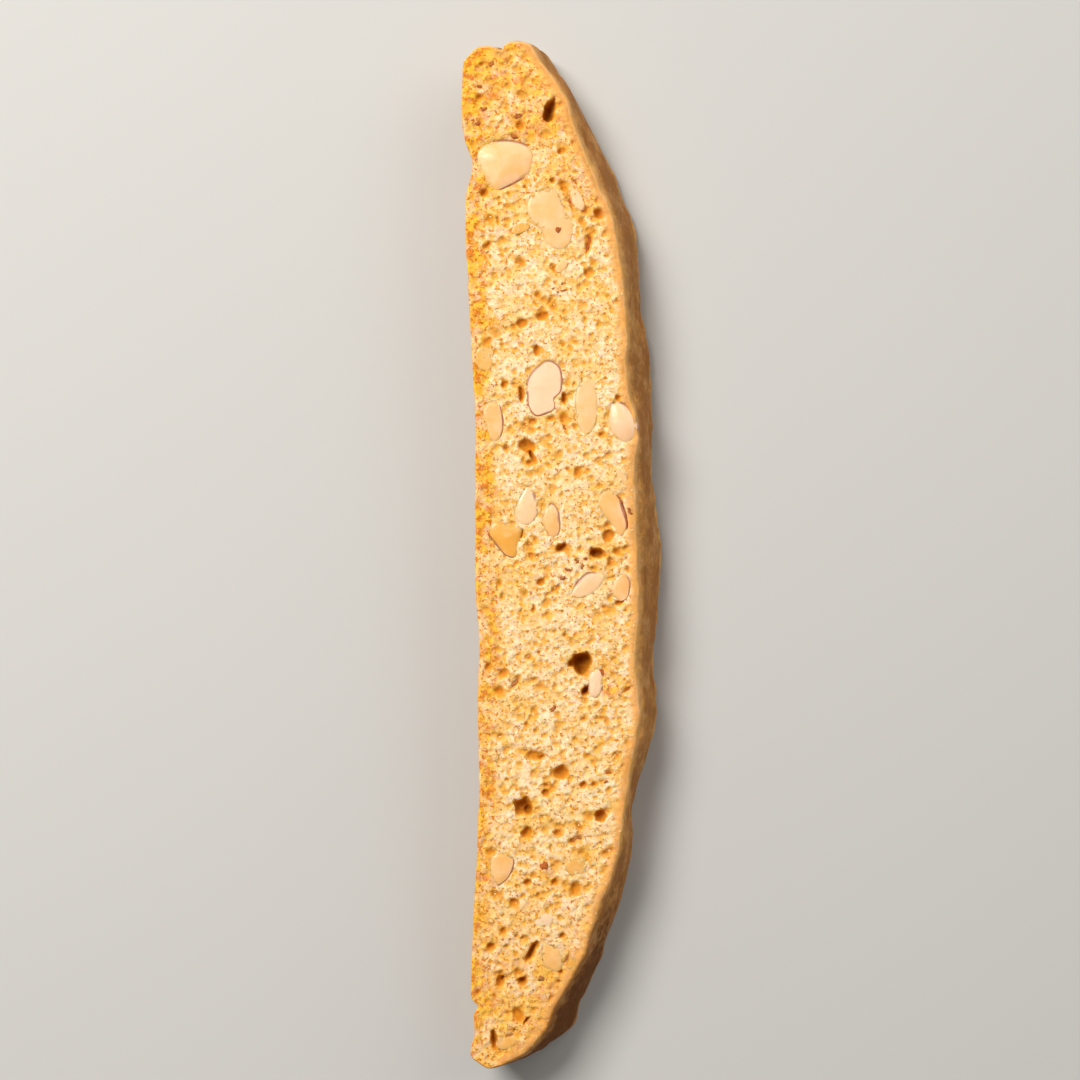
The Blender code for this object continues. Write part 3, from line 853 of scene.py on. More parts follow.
def crust_looks(row, near_edge):
    """The values of one row of the crust, this many rows from the nearer cut face."""
    tail = 1 - smooth_step(8, 45, row[:, 1] - TIP_ALONG)
    base = smooth_step(0.55, 0.9, -outward(row[:, :2])[:, 0])
    below = min(row[0, 2], THICKNESS - row[0, 2])
    # The crust share is low at the worn edges, where crust meets crumb, and rises towards mid-height; the
    # finish paints the crust darker as it rises, partly as browning and partly as painted shade.
    dome = 0.34 + 0.66 * smooth_step(0.0, 4.6, below)
    crust = np.minimum(dome * (1 - base) + 0.22 * near_edge * base, 1)
    # Painted shade, partly: on the dome's side the crust by the pointed tip is painted darkest, and its toast
    # darkens it further; this is partly browning and partly painted shade of the end that faces away from the
    # light.
    tail_burn_and_shade = tail * (1 - base) * smooth_step(-0.8, 2.2, below)
    toast = np.maximum(0.6 * tail, base * (near_edge < 4))
    return {"crust": crust + tail_burn_and_shade, "toast": toast, "grain": 0.5}


def joined_slice(rows, upper, lower):
    """One closed mesh of the two cut faces, the crust between them and the walls of the through holes."""
    shell = Shell("depth", "toast", "crust", "grain")
    placed = []
    for face, row in ((upper, rows[0]), (lower, rows[-1])):
        block = np.column_stack((face.plan, face.height))
        block[face.rim] = row
        places = shell.add(block, **{name: getattr(face, name) for name in shell.values})
        shell.faces.append(places[face.triangles if face.from_top else face.triangles[:, ::-1]])
        placed.append((places, block))
    (over, top), (under, bottom) = placed
    bands = [over[upper.rim]]
    for index, row in enumerate(rows[1:-1]):
        bands.append(shell.add(row, **crust_looks(row, min(index, len(rows) - 3 - index))))
    bands.append(under[lower.rim])
    for above, below in zip(bands, bands[1:]):
        shell.strip(above, below)
    for above, below in zip(upper.hole_rims, lower.hole_rims):
        drop = bottom[below] - top[above]
        # The through hole's walls get a depth of 1, so that the finish paints them as shade.
        walls = [over[above]]
        for k in range(1, HOLE_ROWS):
            walls.append(shell.add(top[above] + drop * k / HOLE_ROWS, grain=0.5, depth=1.0))
        walls.append(under[below])
        for first, second in zip(walls, walls[1:]):
            shell.strip(second, first)
    return shell.joined()


def mesh_piece(name, points, faces, finish, values):
    """A mesh object from points in millimetres, with values stored at its points and one finish."""
    mesh = bpy.data.meshes.new(name)
    mesh.from_pydata((points * MM).tolist(), [], [list(face) for face in faces])
    for key, column in values.items():
        layer = mesh.attributes.new(key, "FLOAT", "POINT")
        layer.data.foreach_set("value", np.asarray(column, np.float32))
    mesh.polygons.foreach_set("use_smooth", np.ones(len(mesh.polygons), bool))
    mesh.update()
    mesh.materials.append(finish)
    piece = bpy.data.objects.new(name, mesh)
    bpy.context.scene.collection.objects.link(piece)
    return piece


class Finish:
    """A material whose nodes are added one at a time."""

    def __init__(self, name):
        self.material = bpy.data.materials.new(name)
        self.material.use_nodes = True
        self.tree = self.material.node_tree
        self.shader = self.tree.nodes["Principled BSDF"]
        self.place = self.tree.nodes.new("ShaderNodeTexCoord").outputs["Object"]

    def node(self, kind, inputs=(), **settings):
        made = self.tree.nodes.new(kind)
        for key, value in settings.items():
            setattr(made, key, value)
        for key, value in dict(inputs).items():
            self.feed(made.inputs[key], value)
        return made

    def feed(self, socket, value):
        if isinstance(value, bpy.types.NodeSocket):
            self.tree.links.new(value, socket)
        else:
            socket.default_value = value

    def stored(self, name):
        return self.node("ShaderNodeAttribute", attribute_name=name).outputs["Fac"]

    def noise(self, size, detail=3.0, roughness=0.55, stretch=None):
        place = self.place
        if stretch is not None:
            place = self.node("ShaderNodeMapping", {"Vector": place, "Scale": stretch}).outputs["Vector"]
        inputs = {"Vector": place, "Scale": 1 / (size * MM), "Detail": detail, "Roughness": roughness}
        return self.node("ShaderNodeTexNoise", inputs).outputs["Fac"]

    def lines(self, size, width):
        """Short branching cracks: the middle value of one noise, shown where another is high."""
        off = self.maths("ABSOLUTE", self.maths("SUBTRACT", self.noise(size, 3.0, 0.6), 0.5), 0.0)
        shown = self.ramp(self.noise(size * 1.3, 1.0), 0.56, 0.64)
        return self.times(self.ramp(off, 0.3 * width, width, 1.0, 0.0), shown)

    def ramp(self, value, low, high, first=0.0, last=1.0):
        inputs = {"Value": value, "From Min": low, "From Max": high, "To Min": first, "To Max": last}
        return self.node("ShaderNodeMapRange", inputs, interpolation_type="SMOOTHSTEP").outputs["Result"]

    def maths(self, operation, first, second):
        return self.node("ShaderNodeMath", {0: first, 1: second}, operation=operation).outputs["Value"]

    def plus(self, first, second):
        return self.maths("ADD", first, second)

    def times(self, first, second):
        return self.maths("MULTIPLY", first, second)

    def mix(self, share, first, second):
        inputs = {0: share, 6: first, 7: second}
        return self.node("ShaderNodeMix", inputs, data_type="RGBA").outputs[2]

    def bump(self, height, strength, distance, under=None):
        inputs = {"Height": height, "Strength": strength, "Distance": distance * MM}
        if under is not None:
            inputs["Normal"] = under
        return self.node("ShaderNodeBump", inputs).outputs["Normal"]

    def surface(self, **inputs):
        for key, value in inputs.items():
            self.feed(self.shader.inputs[key.replace("_", " ")], value)
        return self.material


def colour(value):
    return (*value, 1.0)


def open_crumb(f, settings, toast, grit):
    """The colour of the open crumb, with painted shade in its pits, cracks and holes and painted highlight on
    its granules' tops, and how far its fine gaps, pits and cracks sink.
    """
    depth, grain = f.stored("depth"), f.stored("grain")
    cream = colour(settings.cream_colour)
    gold = colour(settings.gold_colour)
    orange = colour(settings.pore_shade_colour)
    fleck = colour(settings.fleck_colour)
    gaps = f.ramp(f.noise(0.85, 3.0, 0.60), 0.52, 0.66)
    pits = f.ramp(f.plus(f.noise(0.60, 1.0), f.times(toast, 0.04)), 0.62, 0.69)
    cracks = f.lines(1.9, 0.012)
    body = f.mix(f.ramp(f.noise(2.6, 3.0), 0.36, 0.60), colour(settings.crumb_colour), cream)
    # Painted highlight: the higher a granule stands, the more its top is painted cream.
    body = f.mix(f.times(f.ramp(grain, 0.35, 0.80), 0.6), body, cream)
    body = f.mix(f.ramp(f.noise(5.5, 3.0), 0.50, 0.66, 0.0, 0.50), body, fleck)
    spots = f.ramp(f.noise(1.3, 3.0, 0.6), 0.45, 0.60)
    toasted = f.mix(spots, colour(settings.toast_colour), colour(settings.toast_spot_colour))
    patches = f.times(f.ramp(f.noise(2.8, 3.0, 0.6), 0.40, 0.58, 0.40, 1.30), toast)
    body = f.mix(f.times(patches, f.ramp(grit, 0.38, 0.56, 0.65, 1.0)), body, toasted)
    body = f.mix(f.ramp(grit, 0.50, 0.68, 0.0, 0.50), body, gold)
    body = f.mix(f.times(gaps, f.ramp(toast, 0.0, 1.0, 0.88, 0.45)), body, gold)
    body = f.mix(f.ramp(f.noise(1.2, 2.0), 0.60, 0.68, 0.0, 0.65), body, fleck)
    # Painted shade: fine pits and cracks are painted in this darker colour, as the shade inside them; where
    # toasted it turns to the toasted spots' brown.
    darker = f.mix(toast, orange, colour(settings.toast_spot_colour))
    body = f.mix(f.times(pits, 0.95), body, darker)
    body = f.mix(f.times(cracks, 0.75), body, darker)
    # Painted shade: the deeper the crumb lies in a pore or pocket, the more it is painted gold, then orange,
    # then dark brown, as the shade inside the hole.
    body = f.mix(f.ramp(depth, 0.02, 0.30, 0.0, 0.80), body, gold)
    body = f.mix(f.ramp(depth, 0.20, 0.80, 0.0, 0.85), body, orange)
    body = f.mix(f.ramp(depth, 0.80, 2.20, 0.0, 0.90), body, colour(settings.deep_shade_colour))
    sunk = f.maths("MAXIMUM", f.maths("MAXIMUM", f.times(gaps, 0.6), pits), cracks)
    return body, sunk


def baked_crust(f, settings, toast, crust, pebbles):
    """The colour of the crust: paler and darker browns in soft patches, painted darker towards mid-height and
    darkest by the pointed tip on the dome's side, partly as browning and partly as painted shade.
    """
    dark = colour(settings.crust_dark_colour)
    # Painted shade, partly: the crust is painted darker as its crust share rises towards mid-height.
    browned_and_shaded = f.plus(f.ramp(f.noise(7.0, 3.0, 0.6), 0.35, 0.68, -0.42, 0.48), f.ramp(crust, 0.5, 1.0))
    browned_and_shaded = f.plus(browned_and_shaded, f.times(toast, 0.5))
    browned_and_shaded = f.plus(browned_and_shaded, f.ramp(f.noise(0.8, 3.0), 0.64, 0.72, 0.0, 0.4))
    body = f.mix(browned_and_shaded, colour(settings.crust_colour), dark)
    body = f.mix(f.ramp(f.noise(3.5, 5.0, 0.75), 0.44, 0.60, 0.0, 0.45), body, dark)
    body = f.mix(f.ramp(pebbles, 0.42, 0.60, 0.0, 0.50), body, dark)
    pale = f.ramp(f.noise(5.0, 5.0, 0.72), 0.47, 0.66, 0.0, 0.42)
    body = f.mix(pale, body, colour(settings.crust_pale_colour))
    # Painted shade, partly: a crust share above 1, by the pointed tip on the dome's side, is painted towards
    # near black.
    scorched_and_shaded = f.plus(crust, f.ramp(f.noise(2.6, 4.0, 0.7), 0.35, 0.65, -0.50, 0.05))
    return f.mix(f.ramp(scorched_and_shaded, 1.0, 1.7, 0.0, 0.90), body, colour(settings.burnt_and_shade_colour))


def crumb_finish(settings):
    """Golden crumb with cream granules and orange holes, turning to brown crust on the baked sides; the
    granules' tops are painted paler as painted highlight, and the holes darker with depth as painted shade.
    """
    f = Finish("baked_crumb")
    toast, crust = f.stored("toast"), f.stored("crust")
    grit = f.noise(0.30, 2.0, 0.7)
    pebbles = f.noise(1.3, 4.0, 0.65)
    body, sunk = open_crumb(f, settings, toast, grit)
    body = f.mix(f.ramp(crust, 0.0, 0.40, 0.0, 0.80), body, colour(settings.margin_colour))
    body = f.mix(f.ramp(crust, 0.30, 0.60), body, baked_crust(f, settings, toast, crust, pebbles))
    rough = f.ramp(f.noise(0.8, 3.0), 0.3, 0.7, 0.62, 0.85)
    fine = f.bump(f.times(sunk, f.ramp(crust, 0.0, 0.6, 1.0, 0.0)), 0.55, -0.22)
    fine = f.bump(grit, f.ramp(crust, 0.2, 0.8, 0.7, 0.9), 0.12, fine)
    fine = f.bump(pebbles, f.ramp(crust, 0.3, 0.6, 0.0, 0.9), 0.50, fine)
    return f.surface(Base_Color=body, Roughness=rough, Normal=fine, Subsurface_Weight=0.45,
                     Subsurface_Radius=(1.0, 0.50, 0.18), Subsurface_Scale=0.7 * MM, Specular_IOR_Level=0.10)


def almond_finish(settings, crumb):
    """Waxy toasted flesh, thin brown skin where the rim kept it, and crumb stuck to the rest of the rim."""
    f = Finish("toasted_almond")
    skin, toasting, paleness, rim = (f.stored(name) for name in ("skin", "toasting", "paleness", "rim"))
    warm = colour(settings.flesh_warm_colour)
    flesh = f.mix(f.ramp(f.noise(2.2, 3.0, 0.5), 0.40, 0.62), colour(settings.flesh_colour), warm)
    flesh = f.mix(paleness, flesh, colour(settings.flesh_pale_colour))
    patchy = f.times(toasting, f.ramp(f.noise(3.0, 3.0), 0.35, 0.60, 0.5, 1.3))
    flesh = f.mix(patchy, flesh, colour(settings.flesh_toast_colour))
    fibre = f.noise(0.8, 3.0, 0.6, stretch=(1.0, 0.35, 1.0))
    flesh = f.mix(f.ramp(fibre, 0.55, 0.8, 0.0, 0.4), flesh, warm)
    streaks = f.ramp(f.noise(0.9, 3.0), 0.35, 0.65)
    tone = f.mix(streaks, colour(settings.skin_colour), colour(settings.skin_dark_colour))
    tone = f.mix(f.times(paleness, 0.8), tone, colour(settings.skin_pink_colour))
    body = f.mix(skin, flesh, tone)
    stuck = f.ramp(f.plus(rim, f.times(f.noise(0.85, 3.0, 0.60), 3.0)), 2.48, 2.68)
    crumbs = f.ramp(f.noise(0.35, 2.0), 0.42, 0.62)
    crumbs = f.mix(crumbs, colour(crumb.crumb_colour), colour(crumb.gold_colour))
    body = f.mix(stuck, body, crumbs)
    fine = f.bump(f.noise(0.7, 3.0, 0.55), 0.30, 0.10)
    fine = f.bump(f.times(f.noise(0.55, 3.0, 0.65), stuck), 0.9, 0.45, fine)
    rough = f.maths("MAXIMUM", f.ramp(f.noise(1.2, 2.0), 0.3, 0.7, 0.28, 0.46), stuck)
    return f.surface(Base_Color=body, Roughness=rough, Normal=fine, Subsurface_Weight=0.35,
                     Subsurface_Radius=(1.0, 0.5, 0.25), Subsurface_Scale=1.0 * MM, Specular_IOR_Level=0.55)


def flake_finish(settings):
    """Papery almond skin, brown to red."""
    f = Finish("almond_skin")
    red = f.stored("redness")
    body = f.mix(red, colour(settings.flake_colour), colour(settings.flake_red_colour))
    body = f.mix(f.ramp(f.noise(0.6, 3.0), 0.45, 0.65, 0.0, 0.8), body, colour(settings.flake_dark_colour))
    fine = f.bump(f.noise(0.35, 3.0, 0.6, stretch=(1.0, 0.3, 1.0)), 0.5, 0.1)
    return f.surface(Base_Color=body, Roughness=0.7, Normal=fine, Specular_IOR_Level=0.15)


def grain_finish(settings):
    """Loose crumb, each grain its own shade."""
    f = Finish("crumb_grains")
    shade = f.stored("shade")
    body = f.mix(shade, colour(settings.dark_colour), colour(settings.light_colour))
    body = f.mix(f.ramp(f.noise(0.5, 2.0), 0.4, 0.75, 0.0, 0.4), body, colour(settings.dark_colour))
    body = f.mix(f.times(f.stored("toast"), 0.6), body, colour(settings.toast_colour))
    fine = f.bump(f.noise(0.2, 2.0, 0.6), 0.4, 0.06)
    return f.surface(Base_Color=body, Roughness=0.8, Normal=fine, Subsurface_Weight=0.2,
                     Subsurface_Radius=(1.0, 0.5, 0.18), Subsurface_Scale=0.6 * MM, Specular_IOR_Level=0.25)


def floor_finish(settings):
    """Matt pale board."""
    f = Finish("studio_floor")
    clouds = f.ramp(f.noise(160, 2.0), 0.3, 0.7, 0.0, 0.06)
    tone = f.mix(clouds, colour(settings.floor_colour), FLOOR_CLOUD_COLOUR)
    return f.surface(Base_Color=tone, Roughness=0.9, Specular_IOR_Level=0.1)


def almond_disc(almond, end, facing, sides, thick):
    """Rings of points, with their values, over an almond's first (0) or last (-1) outline, middle first.

    The values are skin, paleness and rim. Sides gives how much skin shows round the rim, thick its thickness.
    """
    height, loop = almond.rings[end]
    middle = loop.mean(axis=0)
    spokes = loop - middle
    reach = np.linalg.norm(spokes, axis=1)
    fit = np.minimum(1, 0.5 * reach.min() / RIM_RINGS[0].inset)
    core = 1 - RIM_RINGS[0].inset * fit / reach
    rings = [(share * core, 0.0, 0.0) for share in CORE_SHARES]
    for ring in RIM_RINGS:
        inset = ring.skins * thick + ring.inset
        drop = ring.crisp_drop * sides + ring.soft_drop * (1 - sides) * (0.6 + 0.6 * almond.looks.buried)
        rings.append((1 - inset * fit / reach, sides * (inset <= thick), drop))
    blocks = []
    for share, skinned, drop in rings:
        plan = middle + spokes * share[:, None]
        own = noise_at(plan, 2.4, almond.seed) * 0.07 + noise_at(plan, 0.9, almond.seed) * 0.03
        bow = almond.looks.bow * (1 - (np.linalg.norm(plan - middle, axis=1) / reach) ** 2)
        z = height + facing * (own + bow - almond.rim_depth() - drop)
        near_rim = smooth_step(0.7 + 1.3 * almond.looks.buried, 0.1, (1 - share) * reach)
        pale = almond.looks.paleness + 0.7 * sides * smooth_step(0.35, 0.95, share)
        looks = np.column_stack((np.broadcast_to(skinned, len(plan)), pale, near_rim * (1 - sides)))
        blocks.append((np.column_stack((plan, z)), looks))
    return blocks


def almond_mesh(almond, settings):
    """A closed almond: a waxy cut face with a rounded, part-skinned rim, and sides down into the crumb."""
    up = 1 if almond.from_top else -1
    rim_loop = almond.rings[0][1]
    worn = np.clip(1.15 + 1.1 * noise_at(rim_loop, 1.7, almond.seed), 0.25, 1)
    sides = skin_share(rim_loop, almond.looks.skin) * worn
    thick = settings.skin_thickness / MM * (1 + 0.7 * noise_at(rim_loop, 2.3, almond.seed + 1))
    blocks = almond_disc(almond, 0, up, sides, thick)
    for height, loop in almond.rings[1:-1] if almond.through else almond.rings[1:]:
        looks = np.column_stack((sides, np.full(RIM_POINTS, almond.looks.paleness), 1 - sides))
        blocks.append((np.column_stack((loop, np.full(RIM_POINTS, height))), looks))
    if almond.through:
        blocks += reversed(almond_disc(almond, -1, -up, sides, thick))
    points = np.vstack([block for block, _ in blocks])
    looks = np.clip(np.vstack([looks for _, looks in blocks]), 0, 1)
    faces = []
    for start in range(0, len(points) - RIM_POINTS, RIM_POINTS):
        above = np.arange(start, start + RIM_POINTS)
        below = above + RIM_POINTS
        faces += np.column_stack((above, below, np.roll(below, -1), np.roll(above, -1))).tolist()
    faces.append(list(range(RIM_POINTS)))
    faces.append([len(points) - 1 - k for k in range(RIM_POINTS)])
    if not almond.from_top:
        faces = [list(reversed(face)) for face in faces]
    values = dict(zip(("skin", "paleness", "rim"), looks.T))
    values["toasting"] = np.full(len(points), almond.looks.toasting)
    return points, faces, values


def corners_and_faces(shape):
    """The corners and triangles of a bmesh, which is then freed."""
    corners = np.array([v.co for v in shape.verts])
    faces = np.array([[v.index for v in face.verts] for face in shape.faces])
    shape.free()
    return corners, faces


def icosahedron():
    """The corners and triangles of an icosahedron of radius 1."""
    shape = bmesh.new()
    bmesh.ops.create_icosphere(shape, subdivisions=1, radius=1)
    return corners_and_faces(shape)


def turned(corners, rng):
    """The corners, turned a random way for each set."""
    count = len(corners)
    q = rng.normal(size=(count, 4))
    q /= np.linalg.norm(q, axis=1)[:, None]
    w, x, y, z = q.T
    turn = np.array([
        [1 - 2 * (y * y + z * z), 2 * (x * y - z * w), 2 * (x * z + y * w)],
        [2 * (x * y + z * w), 1 - 2 * (x * x + z * z), 2 * (y * z - x * w)],
        [2 * (x * z - y * w), 2 * (y * z + x * w), 1 - 2 * (x * x + y * y)],
    ])
    return np.einsum("ijn,nkj->nki", turn, corners)


class Ground:
    """The finished pieces whose names start one of these ways, to lay small pieces on."""

    def __init__(self, *starts):
        shape = bmesh.new()
        for piece in bpy.context.scene.objects:
            if piece.name.startswith(starts):
                shape.from_mesh(piece.data)
        self.toast = shape.verts.layers.float["toast"]
        self.tree = BVHTree.FromBMesh(shape)
        shape.faces.ensure_lookup_table()
        self.shape = shape

    def under(self, x, y, from_top):
        """The height and toasting of the surface square on to a cut face at this place, or None beside it."""
        level, up = (THICKNESS, 1) if from_top else (0.0, -1)
        start = Vector((x * MM, y * MM, (level + up) * MM))
        hit = self.tree.ray_cast(start, Vector((0, 0, -up)))
        if hit[0] is None:
            return None
        return hit[0].z / MM, self.shape.faces[hit[2]].verts[0][self.toast]

    def clear(self, x, y, from_top, margin):
        """Whether the cut face is level for this far round a place."""
        level = THICKNESS if from_top else 0.0
        for dx, dy in ((0, 0), (margin, 0), (-margin, 0), (0, margin), (0, -margin)):
            found = self.under(x + dx, y + dy, from_top)
            if found is None or abs(found[0] - level) > LEVEL_WITHIN:
                return False
        return True


def grain_points(from_top, count, settings, ground, rng):
    """Places, radii and toasting of loose grains on one cut face, clear of its edge."""
    low, high = np.array(CAD_LOW.xy) / MM, np.array(CAD_HIGH.xy) / MM
    level, up = (THICKNESS, 1) if from_top else (0.0, -1)
    placed = []
    while len(placed) < count:
        x, y = rng.uniform(low, high)
        radius = settings.grain_size / MM / 2 * rng.uniform(0.6, 1.4)
        if not ground.clear(x, y, from_top, GRAIN_CLEARANCE):
            continue
        z, toast = ground.under(x, y, from_top)
        if up * (z - level) < 0.2:
            placed.append((x, y, z - up * radius * 0.5, radius, toast))
    return np.array(placed)


def joined_grains(settings, rng):
    """All the loose grains of both faces as one mesh."""
    ground = Ground("biscotti_crumb")
    corners, triangles = icosahedron()
    placed = np.vstack([
        grain_points(True, settings.grain_count, settings, ground, rng),
        grain_points(False, int(settings.grain_count * LOWER_GRAINS), settings, ground, rng),
    ])
    count = len(placed)
    shapes = corners[None] * rng.uniform(0.72, 1.28, (count, len(corners), 1))
    shapes = shapes * rng.uniform(0.65, 1.2, (count, 1, 3))
    shapes = turned(shapes, rng) * placed[:, 3][:, None, None] + placed[:, None, :3]
    faces = (triangles[None] + np.arange(count)[:, None, None] * len(corners)).reshape(-1, 3)
    shade = np.repeat(rng.uniform(0, 1, count) ** 0.8, len(corners))
    values = {"shade": shade, "toast": np.repeat(placed[:, 4], len(corners))}
    return shapes.reshape(-1, 3), faces, values


def spun(points, turn):
    """The points, turned about +Z."""
    cos, sin = math.cos(turn), math.sin(turn)
    x = points[:, 0] * cos - points[:, 1] * sin
    y = points[:, 0] * sin + points[:, 1] * cos
    return np.column_stack((x, y, points[:, 2]))


def chip(x, y, size, turn, seed, from_top, toasting):
    """A chip of almond cut flat by the knife, level with a cut face, as points, faces and values."""
    points, faces = lump((*size, CHIP_HEIGHT), seed, 4, 0.13)
    flat = 0.55 + 0.05 * noise_at(points, 0.8, seed)
    above = points[:, 2] > flat
    points[above, 2] = flat[above] + 0.12 * (points[above, 2] - flat[above])
    points[:, 2] -= 0.62
    values = {
        "toasting": toasting,
        "paleness": np.clip(0.4 - toasting, 0, 1),
        "skin": 0.0,
        "rim": smooth_step(0.60, 1.0, np.hypot(points[:, 0] / size[0], points[:, 1] / size[1]) * 2),
    }
    points = spun(points, turn)
    if not from_top:
        points[:, 2] *= -1
        faces = faces[:, ::-1]
    return points + (x, y, THICKNESS if from_top else 0.0), faces, values


def lump(size, seed, detail, roughness):
    """A rounded, uneven lump as points and faces: size is its length, width and height."""
    shape = bmesh.new()
    bmesh.ops.create_icosphere(shape, subdivisions=detail, radius=0.5)
    corners, faces = corners_and_faces(shape)
    corners = np.sign(corners) * np.abs(corners * 2) ** 0.85 / 2
    corners *= 1 + roughness * noise_at(corners, 0.35, seed)[:, None]
    return corners * size, faces


def flake(centre, size, turn, seed, redness, rng):
    """A thin curled flake of skin, lying nearly flat, as points, faces and values."""
    points, faces = lump((*size, FLAKE_THICKNESS), seed, 3, 0.45)
    share = points[:, 0] / size[0]
    points[:, 1] *= 1 + 0.7 * noise_at(points, 0.45, seed + 3)
    points[:, 2] += 0.25 * share**2 * rng.uniform(-1, 1)
    points[:, 1] += 0.35 * size[1] * rng.uniform(-1, 1) * (2 * share) ** 2
    return spun(points, turn) + centre, faces, {"redness": redness}


def gathered(parts):
    """Several (points, faces, values) parts as one mesh, with each value spread over its part's points."""
    points, faces = [], []
    values = {name: [] for name in parts[0][2]}
    start = 0
    for corners, triangles, given in parts:
        points.append(corners)
        faces.append(triangles + start)
        for name, column in values.items():
            column.append(np.broadcast_to(given[name], len(corners)))
        start += len(corners)
    values = {name: np.concatenate(column) for name, column in values.items()}
    return np.vstack(points), np.vstack(faces), values


def upper_bits(table):
    """A table's bits on the upper face, as x, y, size, turn and value."""
    for along, across, long, wide, turn, value in table:
        yield *from_table(along, across), (long, wide), math.radians(turn), value


def lower_bits(rng, count, ground, widening):
    """Random bits on the lower face, as x, y, size, turn and value."""
    low, high = np.array(CAD_LOW.xy) / MM, np.array(CAD_HIGH.xy) / MM
    bits = []
    while len(bits) < count:
        x, y = rng.uniform(low, high)
        if ground.clear(x, y, False, LOWER_BIT_CLEARANCE):
            long = rng.uniform(*LOWER_BIT_LENGTHS)
            size = np.array((long, long * rng.uniform(0.35, 0.8))) * widening
            bits.append((x, y, size, rng.uniform(0, math.pi), rng.random()))
    return bits


def soft_light(name, power, size, bearing, height):
    """A square light that faces the slice from this bearing and height."""
    light = bpy.data.lights.new(name, "AREA")
    light.energy = power
    light.size = size
    light.color = LAMP_COLOUR
    lamp = bpy.data.objects.new(name, light)
    level = math.cos(height)
    towards = Vector((math.cos(bearing) * level, math.sin(bearing) * level, math.sin(height)))
    lamp.location = towards * LIGHT_DISTANCE
    lamp.rotation_euler = towards.to_track_quat("Z", "Y").to_euler()
    bpy.context.scene.collection.objects.link(lamp)


def board(settings):
    """The pale floor, just below the slice."""
    half = settings.floor_size / 2
    mesh = bpy.data.meshes.new("floor")
    corners = [(x, y, FLOOR_HEIGHT) for x, y in ((-half, -half), (half, -half), (half, half), (-half, half))]
    mesh.from_pydata(corners, [], [(0, 1, 2, 3)])
    mesh.materials.append(floor_finish(settings))
    floor = bpy.data.objects.new("floor", mesh)
    bpy.context.scene.collection.objects.link(floor)
    return floor


def even_light(strength):
    """A world of nearly white light from all round."""
    world = bpy.data.worlds.new("studio")
    world.use_nodes = True
    background = world.node_tree.nodes["Background"]
    background.inputs["Color"].default_value = SKY_COLOUR
    background.inputs["Strength"].default_value = strength
    return world


def aimed_camera(settings):
    """A camera over the slice, leaning to the base's side."""
    lens = bpy.data.cameras.new("camera")
    lens.lens = settings.camera_lens
    lens.sensor_width = 36.0
    lens.clip_start = 0.01
    camera = bpy.data.objects.new("camera", lens)
    tilt = settings.camera_tilt
    away = Vector((-math.sin(tilt), 0, math.cos(tilt))) * settings.camera_distance
    camera.location = Vector(settings.camera_aim) + away
    camera.rotation_euler = (0, -tilt, 0)
    bpy.context.scene.collection.objects.link(camera)
    return camera


def length(name, description, millimetres):
    """A length that a user may change."""
    return bpy.props.FloatProperty(
        name=name, description=description, default=millimetres * MM, min=0.0, unit="LENGTH", precision=5)


def angle(name, description, degrees):
    """An angle that a user may change."""
    return bpy.props.FloatProperty(
        name=name, description=description, default=math.radians(degrees), subtype="ANGLE")


def power(name, description, watts):
    """A light's power that a user may change."""
    return bpy.props.FloatProperty(name=name, description=description, default=watts, min=0.0, unit="POWER")


def tint(name, description, *default):
    """A colour that a user may change."""
    return bpy.props.FloatVectorProperty(
        name=name, description=description, default=default, min=0.0, max=1.0, subtype="COLOR")


